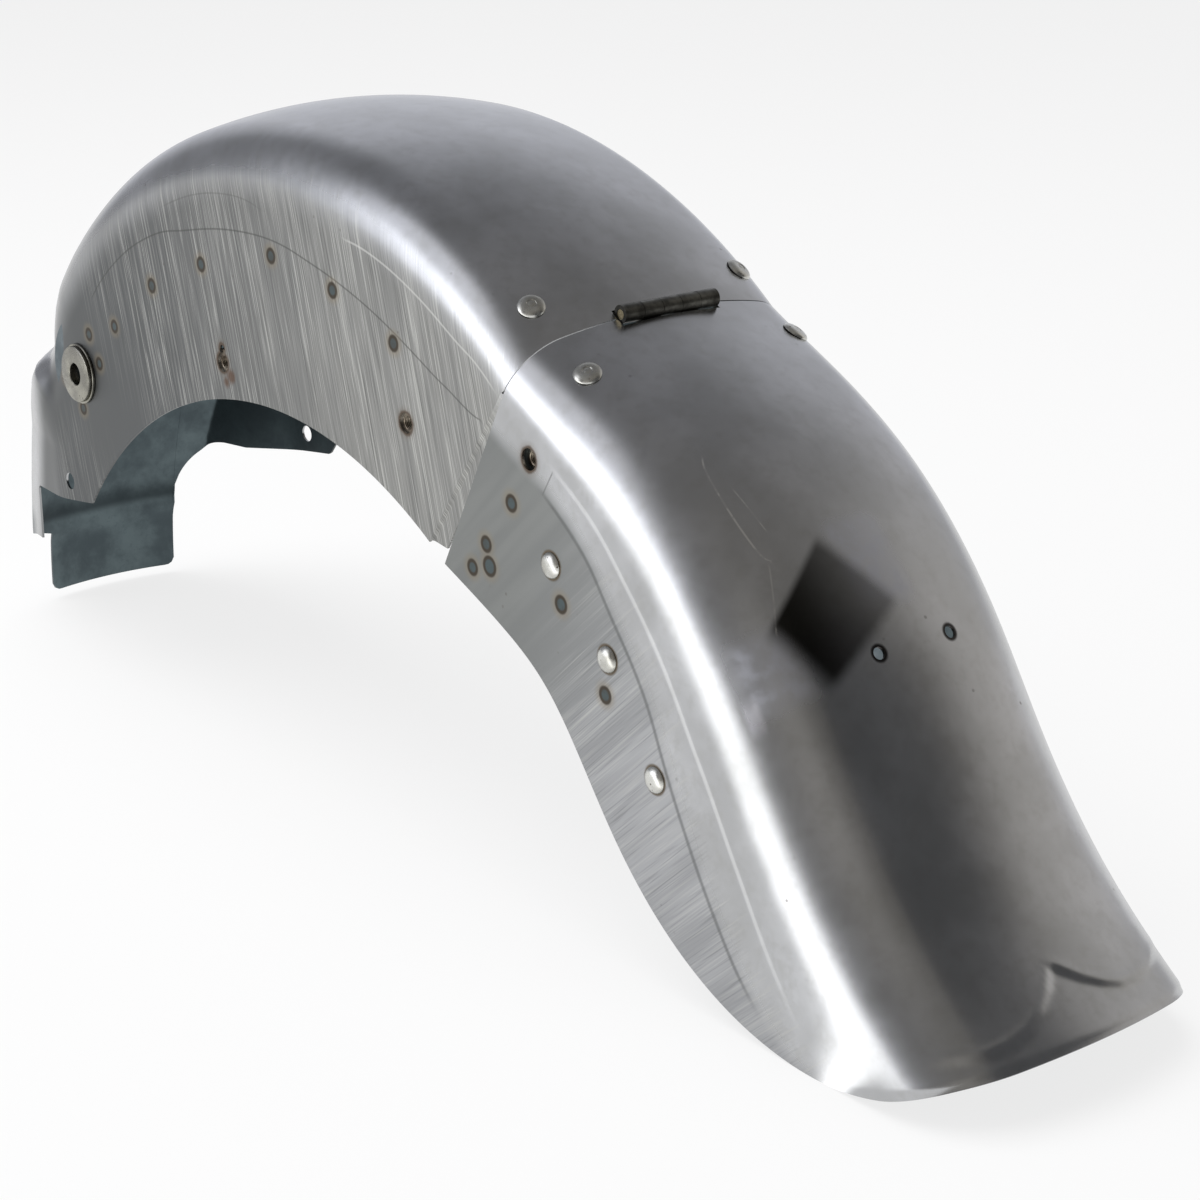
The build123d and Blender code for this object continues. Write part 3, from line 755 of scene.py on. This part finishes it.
def tail_flats(tree, u, edge, ragged):
    """The tail skirts, from a little above the band's lower edge down."""
    start = add(tree, "MapRange", (add(tree, "Math", (u, ragged), operation="ADD"), 0.085, 0.20), **eased)
    top = add(tree, "MapRange", (add(tree, "Math", (edge, ragged), operation="ADD"), -0.022, -0.004), **eased)
    side = add(tree, "MapRange", (edge, -0.012, 0.003), **eased)
    back = add(tree, "MapRange", (u, 0.02, 0.30), **eased)
    flats = add(tree, "Mix", {0: back, 6: linear("#838583"), 7: linear("#A9AAAC")}, **blended)
    return where_all(tree, start, top), side, flats


def front_marks(tree, colour, at, u, w):
    """Painted shade and a painted highlight along the pressed step, darker steel towards the front wall, and
    painted shade over the near corner's foot.
    """
    # the two dark lines are painted shade under the pressed step, the pale one a painted highlight along it
    for points, start, end, ease, wide, shade, strength in painted_step_lines:
        gap = along_line(tree, u, w, [(a * arc, round_by) for a, round_by in points])
        line = where_all(tree, thin(tree, gap, wide), window(tree, u, start * arc, end * arc, ease))
        colour = laid_over(tree, colour, shade, line, strength)
    x, y, z = add(tree, "SeparateXYZ", (at,)).node.outputs
    # the steel drawn darker towards the front wall
    wall = add(tree, "MapRange", (x, -0.508, -0.528), **eased)
    colour = laid_over(tree, colour, "#6E7274", wall, 0.45)
    # painted shade over the outer foot of the near corner, as dark as the shaded inside of the wall
    corner = where_all(tree, add(tree, "MapRange", (x, -0.490, -0.512), **eased),
                       add(tree, "MapRange", (z, 0.096, 0.074), **eased),
                       add(tree, "MapRange", (y, -0.030, -0.065), **eased))
    return laid_over(tree, colour, "#3E484C", corner, 0.9)


def tail_marks(tree, colour, flat, u, w, edge, on_side):
    """Painted shade along the band's lower edge and down its start, a painted highlight along its upper edge,
    and grime round the rivet heads.
    """
    # painted shade along the band's lower edge
    off = add(tree, "Math", (edge,), operation="ABSOLUTE")
    line = where_all(tree, add(tree, "MapRange", (off, 0.0003, 0.0026, 1.0, 0.0), **eased),
                     window(tree, u, 52, 392, 14))
    colour = laid_over(tree, colour, "#5A5C5B", line, 0.55)
    # painted highlight along the band's upper edge
    off = add(tree, "Math", (along_line(tree, u, w, band_high),), operation="ABSOLUTE")
    line = where_all(tree, add(tree, "MapRange", (off, 0.0006, 0.0022, 1.0, 0.0), **eased),
                     window(tree, u, 60, 380, 30))
    colour = laid_over(tree, colour, "#E4E4E4", line, 0.22)
    # painted shade down the band's slanted start
    slant = add(tree, "Math", (u, add(tree, "Math", (w, 0.16), operation="MULTIPLY")), operation="ADD")
    slant = add(tree, "Math", (slant, 0.0752), operation="SUBTRACT")
    line = where_all(tree, thin(tree, slant, 0.9), window(tree, w, 138, 155, 2))
    colour = laid_over(tree, colour, "#5E605E", line, 0.5)
    rims = nearest(tree, flat, rivet_rims)
    rims = add(tree, "MapRange", (rims, 0.0006, 0.0022, 0.85, 0.0), **eased)
    return laid_over(tree, colour, "#5A4E3B", rims, on_side)


def weld_marks(tree, colour, flat, mottle, on_side, spots, burns, rust):
    """Spot welds as slate discs with a dark brown ring and a faint straw halo, burnt edges round the nut
    holes, and rust below one of them."""
    away = nearest(tree, flat, spots)
    halo = add(tree, "MapRange", (away, 0.0, 0.0065, 0.45, 0.0), **eased)
    colour = laid_over(tree, colour, "#8B7F68", halo, on_side)
    ring = add(tree, "MapRange", (away, 0.0, 0.0016, 1.0, 0.0), **eased)
    colour = laid_over(tree, colour, "#3A332B", ring, on_side, 0.92)
    disc = add(tree, "MapRange", (away, -0.0022, -0.0009, 1.0, 0.0), **eased)
    worn = add(tree, "MapRange", (mottle, 0.35, 0.6, 0.55, 0.95), **eased)
    colour = laid_over(tree, colour, "#4F5A5C", disc, on_side, worn)

    away = nearest(tree, flat, burns)
    uneven = add(tree, "Math", (mottle, 0.003), operation="MULTIPLY")
    uneven = add(tree, "Math", (away, uneven), operation="SUBTRACT")
    scorch = add(tree, "MapRange", (uneven, -0.0012, 0.0008, 1.0, 0.0), **eased)
    colour = laid_over(tree, colour, "#3B2A1E", scorch, on_side, 0.85)
    halo = add(tree, "MapRange", (away, 0.0, 0.006, 0.35, 0.0), **eased)
    colour = laid_over(tree, colour, "#6F604E", halo, on_side)
    if rust:
        uneven = add(tree, "Math", (mottle, 0.004), operation="MULTIPLY")
        uneven = add(tree, "Math", (nearest(tree, flat, rust), uneven), operation="SUBTRACT")
        stain = add(tree, "MapRange", (uneven, -0.002, 0.003, 1.0, 0.0), **eased)
        colour = laid_over(tree, colour, "#5C4230", stain, on_side, 0.8)
    return colour


def lamp_marks(tree, colour, rough, at, u, signed, mottle):
    """The buffed pad over the lamp holes, with a painted reflection of the dark above, hazy sanded patches,
    a chip and broken scratches beside it, and the brown rims of the holes, darkened with painted shade."""
    spot = add(tree, "CombineXYZ", (u, signed))
    inside = []
    for (u0, w0, ease), (u1, w1, _) in zip(pad_corners, pad_corners[1:] + pad_corners[:1]):
        long = math.hypot(u1 - u0, w1 - w0)
        nu, nw = (w1 - w0) / long, (u0 - u1) / long
        reach = add(tree, "VectorMath", (spot, (nu, nw, 0)), out=1, operation="DOT_PRODUCT")
        level = nu * u0 + nw * w0
        inside.append(add(tree, "MapRange", (reach, (level - ease) / 1000, (level + ease) / 1000), **eased))
    pad = where_all(tree, *inside)
    upper = where_all(tree, window(tree, signed, -24, 12, 7), window(tree, u, 184, 236, 7))
    lower = where_all(tree, window(tree, signed, -108, -70, 7), window(tree, u, 229, 272, 8))
    haze = where_all(tree, add(tree, "Math", (upper, lower), operation="MAXIMUM"),
                     add(tree, "MapRange", (mottle, 0.36, 0.62, 0.45, 0.85), **eased))
    colour = laid_over(tree, colour, "#C6C8D0", haze)
    chip = where_all(tree, window(tree, signed, -112, -103, 2), window(tree, u, 262, 280, 5))
    colour = laid_over(tree, colour, "#E4E4EA", chip, 0.85)
    # painted reflection: the pad's near black stands for the dark above mirrored in it, strongest towards the
    # near side; the low roughness of the buffing is real
    fade = add(tree, "MapRange", (signed, -0.070, -0.005, 0.97, 0.56), **eased)
    colour = laid_over(tree, colour, "#1B1A15", pad, fade)
    rough = add(tree, "Mix", {0: where_all(tree, haze, 0.9), 2: rough, 3: 0.50})
    rough = add(tree, "Mix", {0: pad, 2: rough, 3: 0.24})

    broken = add(tree, "MapRange", (mottle, 0.44, 0.56, 0.25, 1.0), **eased)
    for points, wide, strength in pad_scratches:
        line = where_all(tree, thin(tree, along_line(tree, u, signed, points), wide),
                         window(tree, u, points[0][0], points[-1][0], 3), broken)
        colour = laid_over(tree, colour, "#E2E2E0", line, strength)
    # dark rims round the holes: their brown is real, the depth of the dark is painted shade for the shaded
    # inside of the holes
    for y in (-lamp_y, lamp_y):
        away = add(tree, "VectorMath", (at, tuple(place(lamp_x, y, lamp_z))), out=1, operation="DISTANCE")
        rim = add(tree, "MapRange", (away, 0.0046, 0.0064, 0.95, 0.0), **eased)
        colour = laid_over(tree, colour, "#1E1A15", rim)
    return colour, rough


def pressed_sheet_finish(name, front_half):
    """Cold-rolled steel sheet, pressed, then sanded by hand on the skirts: a satin crown with wiped, cloudy
    patches, duller flats full of long fine scratches, and straw to blue heat marks round each weld."""
    mat, tree = new_material(name)
    at = add(tree, "TexCoord", out="Object")
    u, signed, _ = add(tree, "SeparateXYZ", (add(tree, "UVMap", uv_map="sheet"),)).node.outputs
    w = add(tree, "Math", (signed,), operation="ABSOLUTE")
    flat = add(tree, "VectorMath", (at, (1, 0, 1)), operation="MULTIPLY")
    on_side = add(tree, "MapRange", (w, 0.120, 0.132), **eased)

    # clouds of 60 mm, mottle of 9 mm, and a grain of 1.6 mm, coarser than real so that it shows
    cloud = add(tree, "TexNoise", {"Vector": at, "Scale": 16.0, "Detail": 3.0, "Roughness": 0.55})
    mottle = add(tree, "TexNoise", {"Vector": at, "Scale": 110.0, "Detail": 4.0, "Roughness": 0.6})
    grain = add(tree, "TexNoise", {"Vector": at, "Scale": 620.0, "Detail": 2.0})
    run, cross = (0.74, 0, 0.673), (-0.673, 0, 0.74)
    if front_half:
        run, cross = (0.26, 0, -0.966), (0.966, 0, 0.26)
    fine, broad, patch = sanding(tree, at, signed, run, cross)
    ragged = add(tree, "Math", (broad, 0.5), operation="SUBTRACT")
    ragged = add(tree, "Math", (ragged, 0.09), operation="MULTIPLY")
    if front_half:
        sanded, side, flats = front_flats(tree, u, w, ragged)
    else:
        edge = along_line(tree, u, w, band_low)
        sanded, side, flats = tail_flats(tree, u, edge, ragged)

    wiped = add(tree, "MapRange", (cloud, 0.34, 0.68), **eased)
    colour = add(tree, "Mix", {0: wiped, 6: linear("#B0B1B2"), 7: linear("#C0C1C3")}, **blended)
    dull = add(tree, "MapRange", (mottle, 0.42, 0.75, 0.0, 0.30), **eased)
    colour = laid_over(tree, colour, "#A2A29F", dull)
    pressed_on = add(tree, "MapRange", (patch, 0.66, 0.36, 0.0, 0.22), **eased)
    flats = laid_over(tree, flats, "#5C5E60", pressed_on)
    colour = add(tree, "Mix", {0: side, 6: colour, 7: flats}, **blended)

    # sanding lines, weaker on the tail
    contrast = 1.0 if front_half else 0.5
    bright = where_all(tree, add(tree, "MapRange", (fine, 0.52, 0.66), **eased),
                       add(tree, "MapRange", (patch, 0.30, 0.60, 0.25, 1.0), **eased))
    colour = laid_over(tree, colour, "#C6C6C2", bright, sanded, 0.70 * contrast)
    dark = where_all(tree, add(tree, "MapRange", (fine, 0.46, 0.36), **eased),
                     add(tree, "MapRange", (broad, 0.62, 0.40), **eased))
    colour = laid_over(tree, colour, "#4A4C4B", dark, sanded, 0.55 * contrast)
    wide = add(tree, "MapRange", (broad, 0.58, 0.70), **eased)
    colour = laid_over(tree, colour, "#BDBDB8", wide, sanded, 0.30)

    # satin crown, duller sanded flats
    rough = add(tree, "MapRange", (cloud, 0.32, 0.68, 0.225, 0.260), **eased)
    rough = add(tree, "Mix", {0: side, 2: rough, 3: 0.42})

    if front_half:
        colour = front_marks(tree, colour, at, u, w)
        colour = weld_marks(tree, colour, flat, mottle, on_side, front_spots, front_burns, front_rust)
    else:
        colour = tail_marks(tree, colour, flat, u, w, edge, on_side)
        colour = weld_marks(tree, colour, flat, mottle, on_side, tail_spots, tail_burns, [])
        colour, rough = lamp_marks(tree, colour, rough, at, u, signed, mottle)
    specks = add(tree, "TexVoronoi", {"Vector": at, "Scale": 75.0}, out="Distance")
    specks = where_all(tree, add(tree, "MapRange", (specks, 0.10, 0.05), **eased),
                       add(tree, "MapRange", (cloud, 0.52, 0.66, 0.0, 0.6), **eased))
    colour = laid_over(tree, colour, "#5F5A55", specks)

    grain = add(tree, "Math", (grain, 0.05), operation="MULTIPLY")
    height = add(tree, "Math", (where_all(tree, fine, sanded), grain), operation="ADD")
    bump = add(tree, "Bump", {"Height": height, "Strength": 0.12, "Distance": 0.0002})
    finish(colour, rough, bump)
    return mat


def mill_steel(name, pale, deep, rough_low, rough_high, scale=26.0, bend=None):
    """Hot-rolled or oiled steel left as it came: scale in soft clouds, with duller handled patches. A bend
    is the height in metres of the crease at the front wall's inside, which is drawn as a soft shade."""
    mat, tree = new_material(name)
    at = add(tree, "TexCoord", out="Object")
    # clouds of 38 mm on sheet and bar and 11 mm on the hinge, mottle of 4 mm
    cloud = add(tree, "TexNoise", {"Vector": at, "Scale": scale, "Detail": 5.0, "Roughness": 0.6})
    mottle = add(tree, "TexNoise", {"Vector": at, "Scale": 260.0, "Detail": 3.0, "Roughness": 0.6})
    pale_share = add(tree, "MapRange", (cloud, 0.34, 0.66), **eased)
    colour = add(tree, "Mix", {0: pale_share, 6: linear(deep), 7: linear(pale)}, **blended)
    colour = laid_over(tree, colour, deep, add(tree, "MapRange", (mottle, 0.52, 0.72, 0.0, 0.4), **eased))
    if bend:
        x, _, z = add(tree, "SeparateXYZ", (at,)).node.outputs
        z = add(tree, "Math", (z, add(tree, "Math", (cloud, 0.006), operation="MULTIPLY")), operation="ADD")
        fold = where_all(tree, add(tree, "MapRange", (z, bend - 0.004, bend + 0.004), **eased),
                         add(tree, "MapRange", (z, bend + 0.004, bend + 0.022, 1.0, 0.0), **eased),
                         add(tree, "MapRange", (x, -0.38, -0.42), **eased))
        colour = laid_over(tree, colour, "#2A3134", fold, 0.75)
    rough = add(tree, "MapRange", (cloud, 0.3, 0.7, rough_high, rough_low), **eased)
    bump = add(tree, "Bump", {"Height": mottle, "Strength": 0.25, "Distance": 0.0003})
    finish(colour, rough, bump)
    return mat


def turned_steel(name, pale, deep, stain):
    """Steel or brass turned or headed bright, then handled: a clean pale face with small grimy pits."""
    mat, tree = new_material(name)
    at = add(tree, "TexCoord", out="Object")
    # mottle of 3 mm, clouds of 14 mm, pits 5 mm apart
    mottle = add(tree, "TexNoise", {"Vector": at, "Scale": 320.0, "Detail": 3.0, "Roughness": 0.6})
    cloud = add(tree, "TexNoise", {"Vector": at, "Scale": 70.0, "Detail": 3.0})
    pits = add(tree, "TexVoronoi", {"Vector": at, "Scale": 210.0}, out="Distance")
    pale_share = add(tree, "MapRange", (cloud, 0.35, 0.65), **eased)
    colour = add(tree, "Mix", {0: pale_share, 6: linear(deep), 7: linear(pale)}, **blended)
    colour = laid_over(tree, colour, stain, add(tree, "MapRange", (pits, 0.16, 0.08), **eased),
                       add(tree, "MapRange", (cloud, 0.5, 0.62), **eased))
    rough = add(tree, "MapRange", (mottle, 0.35, 0.65, 0.24, 0.38), **eased)
    bump = add(tree, "Bump", {"Height": mottle, "Strength": 0.2, "Distance": 0.0002})
    finish(colour, rough, bump)
    return mat


# The pieces

# bare sheet, pressed and sanded by hand: a satin crown and scratched, duller flats
front_steel = pressed_sheet_finish("pressed_sheet_front", True)
tail_steel = pressed_sheet_finish("pressed_sheet_tail", False)
# rolled steel with its scale left on: slate blue inside the sheet, paler and duller on the bars
inside_steel = mill_steel("rolled_sheet_inside", "#626E71", "#4F595D", 0.36, 0.48, bend=0.071)
stay_steel = mill_steel("rolled_bar_stays", "#7B8488", "#5C6569", 0.38, 0.52)
# hinge steel darkened by oil: brown-black, with small clouds and some shine
barrel_steel = mill_steel("oiled_hinge_steel", "#6B6A64", "#3F3E3A", 0.30, 0.46, 90.0)
# steel headed or turned bright: pale rivets, warmer and darker bosses, brown threads and burnt nuts
rivet_steel = turned_steel("bright_headed_rivet", "#D2D2CD", "#B4B3AC", "#5B5146")
boss_steel = turned_steel("turned_boss_steel", "#A09E93", "#83817A", "#3F3A33")
thread_steel = turned_steel("cut_thread_steel", "#8F8B80", "#5B564D", "#2E2923")
nut_steel = turned_steel("welded_nut_steel", "#8D8577", "#5E5449", "#33281E")
# brass cut off short and left: a dull straw yellow
pin_brass = turned_steel("cut_brass_pin", "#D8CBA8", "#B7A682", "#6A5A40")

front, tail = front_sheet_mesh(), tail_sheet_mesh()
for shell, steel in ((front, front_steel), (tail, tail_steel)):
    shell.data.materials.append(steel)
    shell.data.materials.append(inside_steel)
modify(front, "SOLIDIFY", thickness=sheet / 1000, offset=-1, material_offset=1)
holes, lobes = [], []
for side in (-1, 1):
    y, out = side * half, (0, side, 0)
    holes.append(punch((boss_at[0], y, boss_at[1]), out, boss_hole_r))
    holes.append(punch((skirt_hole_at[0], y, skirt_hole_at[1]), out, skirt_hole_r))
    for x, z in nut_front:
        holes.append(punch((x, y, z), out, nut_hole_r))
    lobes.append(punch((nut_front[0][0], y, nut_front[0][1] + lobe_up), out, lobe_r))
cut_away(front, holes)
cut_away(front, lobes)
front = joined([front] + [set_in_strip(s) for s in (-1, 1)], "front_sheet")
modify(tail, "SOLIDIFY", thickness=sheet / 1000, offset=-1, material_offset=1)
holes = [punch((nut_tail[0], side * half, nut_tail[1]), (0, side, 0), nut_hole_r) for side in (-1, 1)]
holes += [punch((lamp_x, y, lamp_z), lamp_out, lamp_hole_r) for y in (-lamp_y, lamp_y)]
cut_away(tail, holes)
settle(front, "main", "front_shell")
settle(tail, "tail", "tail_shell")

# hinge rivets: low truss heads with a ring struck in the middle, bucked inside
truss = [(6.0, -6.0), (6.0, -4.2), (3.2, -3.9), (3.2, -0.3), (8.2, -0.2), (8.3, 0.3), (7.9, 1.1),
         (6.9, 1.9), (5.2, 2.55), (3.5, 2.85), (3.0, 2.82), (2.7, 2.55), (2.2, 2.5), (1.7, 2.75),
         (1.0, 2.9), (0.01, 2.95)]
head = turned("hinge_rivet", [(0.01, -6.0)] + truss)
rivet_angle = hinge_rivet_front[0] - math.degrees(hinge_rivet_front[1] / crown_r)
for body, end, point, along, sizes in (
        ("main", "front", front_point, rivet_angle, (camber_r, shoulder_r)),
        ("tail", "rear", tail_point, hinge_rivet_rear, tail_sizes(hinge_rivet_rear))):
    for side in (-1, 1):
        w = side * round_of_side(hinge_rivet_y, *sizes)
        x, y, z, out = point(np.array([along]), np.array([w]))
        piece = copy_of(head, f"{end}_hinge_rivet_{'left' if side < 0 else 'right'}")
        set_on(piece, (x[0], y[0], z[0]), tuple(out[0]))
        settle(piece, body, f"{end}_hinge_rivets", materials=[rivet_steel])
bpy.data.objects.remove(head, do_unlink=True)

# skirt rivets: full round heads
dome = [(6.0, -6.5), (6.0, -4.4), (3.2, -4.1), (3.2, -0.3), (7.7, -0.2), (7.8, 0.3), (7.3, 1.4), (6.1, 2.3),
        (4.3, 2.95), (2.2, 3.2), (0.01, 3.25)]
head = turned("skirt_rivet", [(0.01, -6.5)] + dome)
for side in (-1, 1):
    for n, (x, z) in enumerate(side_rivets, 1):
        piece = copy_of(head, f"skirt_rivet_{'left' if side < 0 else 'right'}_{n}")
        set_on(piece, (x, side * half, z), (0, side, 0))
        settle(piece, "tail", "tail_side_rivets", materials=[rivet_steel])
bpy.data.objects.remove(head, do_unlink=True)

# boss: backing disc, face disc, and the threaded bush inside
disc = [(8.0, 0.0), (8.0, 2.0), (21.5, 2.0), (22.0, 1.6), (22.0, 0.4), (21.6, 0.0), (8.0, 0.0)]
face = [(8.0, 2.0), (8.0, 4.1), (8.5, 4.6), (19.7, 4.6), (20.3, 4.35), (20.5, 3.9), (20.5, 2.7),
        (20.2, 2.3), (19.9, 2.0), (8.0, 2.0)]
thread, turns, pitch = [], 9, 12.0 / 9
for k in range(turns):
    thread += [(6.4, 12.0 - k * pitch), (6.4, 11.8 - k * pitch), (7.1, 11.35 - k * pitch),
               (7.1, 11.1 - k * pitch)]
bush = [(6.4, 0.0), (13.4, 0.0), (14.0, 0.6), (14.0, 11.4), (13.4, 12.0)] + thread + [(6.4, 0.0)]
for side in (-1, 1):
    hand = "left" if side < 0 else "right"
    for name, rings, deep, out, steel in (("boss_plate", disc, 0.0, side, boss_steel),
                                          ("boss_face", face, 0.0, side, boss_steel),
                                          ("boss_bush", bush, -(sheet + 2.5), -side, thread_steel)):
        piece = turned(f"{name}_{hand}_turned", rings)
        set_on(piece, (boss_at[0], side * (half + deep), boss_at[1]), (0, out, 0))
        settle(piece, "main", f"{name}_{hand}", materials=[steel])

# weld nuts: chamfered hexagons with a threaded bore
nut_flats, nut_high = 0.017, 0.008
bpy.ops.object.select_all(action="DESELECT")
bpy.ops.mesh.primitive_cylinder_add(vertices=6, radius=nut_flats / 2 / math.cos(math.pi / 6), depth=nut_high,
                                    location=(0, 0, nut_high / 2))
nut = bpy.context.object
nut.name = "weld_nut"
bpy.ops.object.transform_apply(location=True)
modify(nut, "BEVEL", width=0.0006, segments=2, limit_method="ANGLE", angle_limit=math.radians(50))
thread = [(0.01, -1.0), (4.6, -1.0), (4.6, 0.3)]
for k in range(6):
    thread += [(4.0, 0.6 + k * 1.2), (4.0, 0.8 + k * 1.2), (4.45, 1.2 + k * 1.2), (4.45, 1.4 + k * 1.2)]
thread += [(4.0, 7.6), (4.6, 8.2), (4.6, 9.0), (0.01, 9.0)]
core = turned("nut_core", thread, steps=32)
modify(nut, "BOOLEAN", object=core, operation="DIFFERENCE", solver="EXACT")
bpy.data.objects.remove(core, do_unlink=True)
for side in (-1, 1):
    hand = "left" if side < 0 else "right"
    seats = [("main", "front_weld_nuts", x, z, half - sheet) for x, z in nut_front]
    seats.append(("tail", "tail_weld_nuts", nut_tail[0], nut_tail[1], half - sheet - 2.5))
    for n, (body, node, x, z, seat) in enumerate(seats, 1):
        piece = copy_of(nut, f"weld_nut_{hand}_{n}")
        set_on(piece, (x, side * seat, z), (0, -side, 0))
        settle(piece, body, node, materials=[nut_steel])
bpy.data.objects.remove(nut, do_unlink=True)

for name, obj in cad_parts.items():
    steel = barrel_steel if "hinge_leaf" in name else pin_brass if name == "hinge_pin" else stay_steel
    for material_slot in obj.material_slots:
        material_slot.material = steel


# Studio

bpy.ops.object.select_all(action="DESELECT")
bpy.ops.mesh.primitive_plane_add(size=60, location=(0, 0, 0))
floor = bpy.context.object
floor.name = floor.data.name = "studio_floor"
# white paper: it glows for the camera and in mirrors, and keeps a share of its own shade for shadows
mat, tree = new_material("studio_paper")
path = add(tree, "LightPath").node.outputs
seen = add(tree, "Math", (path["Is Camera Ray"], path["Is Glossy Ray"]), operation="MAXIMUM")
seen = add(tree, "Math", (seen, path["Is Transmission Ray"]), operation="MAXIMUM")
paper = add(tree, "BsdfDiffuse", (linear("#E7E7E7"),))
# a painted pool of light: the paper beside the tail glows brighter, for mirrored rays only, so that the steel
# mirrors it
painted_pool_x, painted_pool_y, painted_pool_gain, paper_glow = 0.45, -0.08, 1.9, 0.8
spot_x, spot_y, _ = add(tree, "SeparateXYZ", (add(tree, "TexCoord", out="Object"),)).node.outputs
behind = add(tree, "Math", (spot_x, painted_pool_x), operation="SUBTRACT")
aside = add(tree, "Math", (spot_y, painted_pool_y), operation="SUBTRACT")
angle = add(tree, "Math", (aside, behind), operation="ARCTAN2")
# the painted pool of light, added to the paper's glow for mirrored rays only
painted_pool = where_all(tree, add(tree, "MapRange", (angle, math.radians(-137), math.radians(-122)), **eased),
                 add(tree, "MapRange", (angle, math.radians(-90), math.radians(-108)), **eased),
                 painted_pool_gain, path["Is Glossy Ray"])
white = add(tree, "Emission", (linear("#FFFFFF"), add(tree, "Math", (painted_pool, 1.0), operation="ADD")))
both = add(tree, "MixShader", (where_all(tree, seen, paper_glow), paper, white))
add(tree, "OutputMaterial", (both,))
floor.data.materials.append(mat)

# a black flag beyond the tail, out of the picture, for the dark band down its crown
bpy.ops.object.select_all(action="DESELECT")
bpy.ops.mesh.primitive_plane_add(size=1, location=(0.86, 0.10, 0.40), rotation=(0, math.pi / 2, 0))
flag = bpy.context.object
flag.name = flag.data.name = "black_flag"
flag.scale = (0.78, 0.66, 1)
bpy.ops.object.transform_apply(location=True, rotation=True, scale=True)
flag.visible_camera = False
mat, tree = new_material("black_flag_cloth")
add(tree, "OutputMaterial", (add(tree, "BsdfDiffuse", (linear("#595959"),)),))
flag.data.materials.append(mat)

# air: how bright the studio is round the compass, degrees from +X; a dark ceiling over it
compass = ((-180, 0.34), (-160, 0.32), (-148, 0.42), (-140, 0.90), (-133, 2.4), (-118, 3.4), (-108, 2.2),
           (-99, 0.45), (-85, 0.25), (-60, 0.33), (-48, 0.36), (-35, 0.24), (-20, 0.14), (0, 0.075),
           (15, 0.05), (30, 0.05), (42, 0.09), (52, 0.28), (62, 0.58), (75, 0.66), (100, 0.62), (125, 0.68),
           (150, 0.76), (165, 0.66), (180, 0.34))
air_top, air_most, tone_gain = 0.23, 3.5, 1.05
world = bpy.data.worlds.new("studio_air")
bpy.context.scene.world = world
world.use_nodes = True
tree = world.node_tree
tree.nodes.clear()
look = add(tree, "SeparateXYZ", (add(tree, "TexCoord", out="Generated"),)).node.outputs
turn = add(tree, "Math", (look[1], look[0]), operation="ARCTAN2")
turn = add(tree, "MapRange", {"Value": turn, "From Min": -math.pi, "From Max": math.pi})
level = add(tree, "FloatCurve", {"Value": turn}, points=[((a + 180) / 360, v / air_most) for a, v in compass])
level = add(tree, "Math", (level, air_most), operation="MULTIPLY")
up = add(tree, "MapRange", (look[2], 0.42, 0.90), **eased)
level = add(tree, "Mix", {0: up, 2: level, 3: air_top})
low = add(tree, "MapRange", (look[2], 0.12, -0.02, 1.0, 1.35), **eased)
level = where_all(tree, level, low)
above_strip = add(tree, "MapRange", (look[2], 0.24, 0.52), **eased)
level = add(tree, "Mix", {0: above_strip, 2: level, 3: add(tree, "Math", (level, 1.2), operation="MINIMUM")})
warm = add(tree, "MapRange", (look[0], -0.7, 0.7), **eased)
tone = add(tree, "Mix", {0: warm, 6: linear("#F5F7FF"), 7: linear("#FFFAF3")}, **blended)
add(tree, "OutputWorld", (add(tree, "Background", (tone, where_all(tree, level, tone_gain))),))


def aimed(spot, ahead):
    """Where a lamp or camera stands, looking along a direction."""
    return Matrix.Translation(spot) @ ahead.to_track_quat("-Z", "Y").to_matrix().to_4x4()


# a wide softbox that isn't mirrored: it only lifts the paper and matt surfaces
light = bpy.data.lights.new("fill_softbox", "AREA")
light.shape, light.size, light.size_y, light.energy = "RECTANGLE", 3.2, 3.2, 120
lamp = bpy.data.objects.new("fill_softbox", light)
bpy.context.collection.objects.link(lamp)
lamp_at = Vector((-0.6, -0.8, 3.2))
lamp.matrix_world = aimed(lamp_at, Vector((0.0, 0.0, 0.2)) - lamp_at)
lamp.visible_glossy = False

camera = bpy.data.objects.new("camera", bpy.data.cameras.new("camera"))
bpy.context.collection.objects.link(camera)
camera.matrix_world = aimed(Vector((1.3054, -0.9590, 0.6994)), Vector((-0.7356, 0.5909, -0.3313)))
camera.data.lens, camera.data.sensor_width, camera.data.clip_end = 78.0, 36.0, 200
bpy.context.scene.camera = camera
bpy.context.scene.view_settings.view_transform = "Standard"
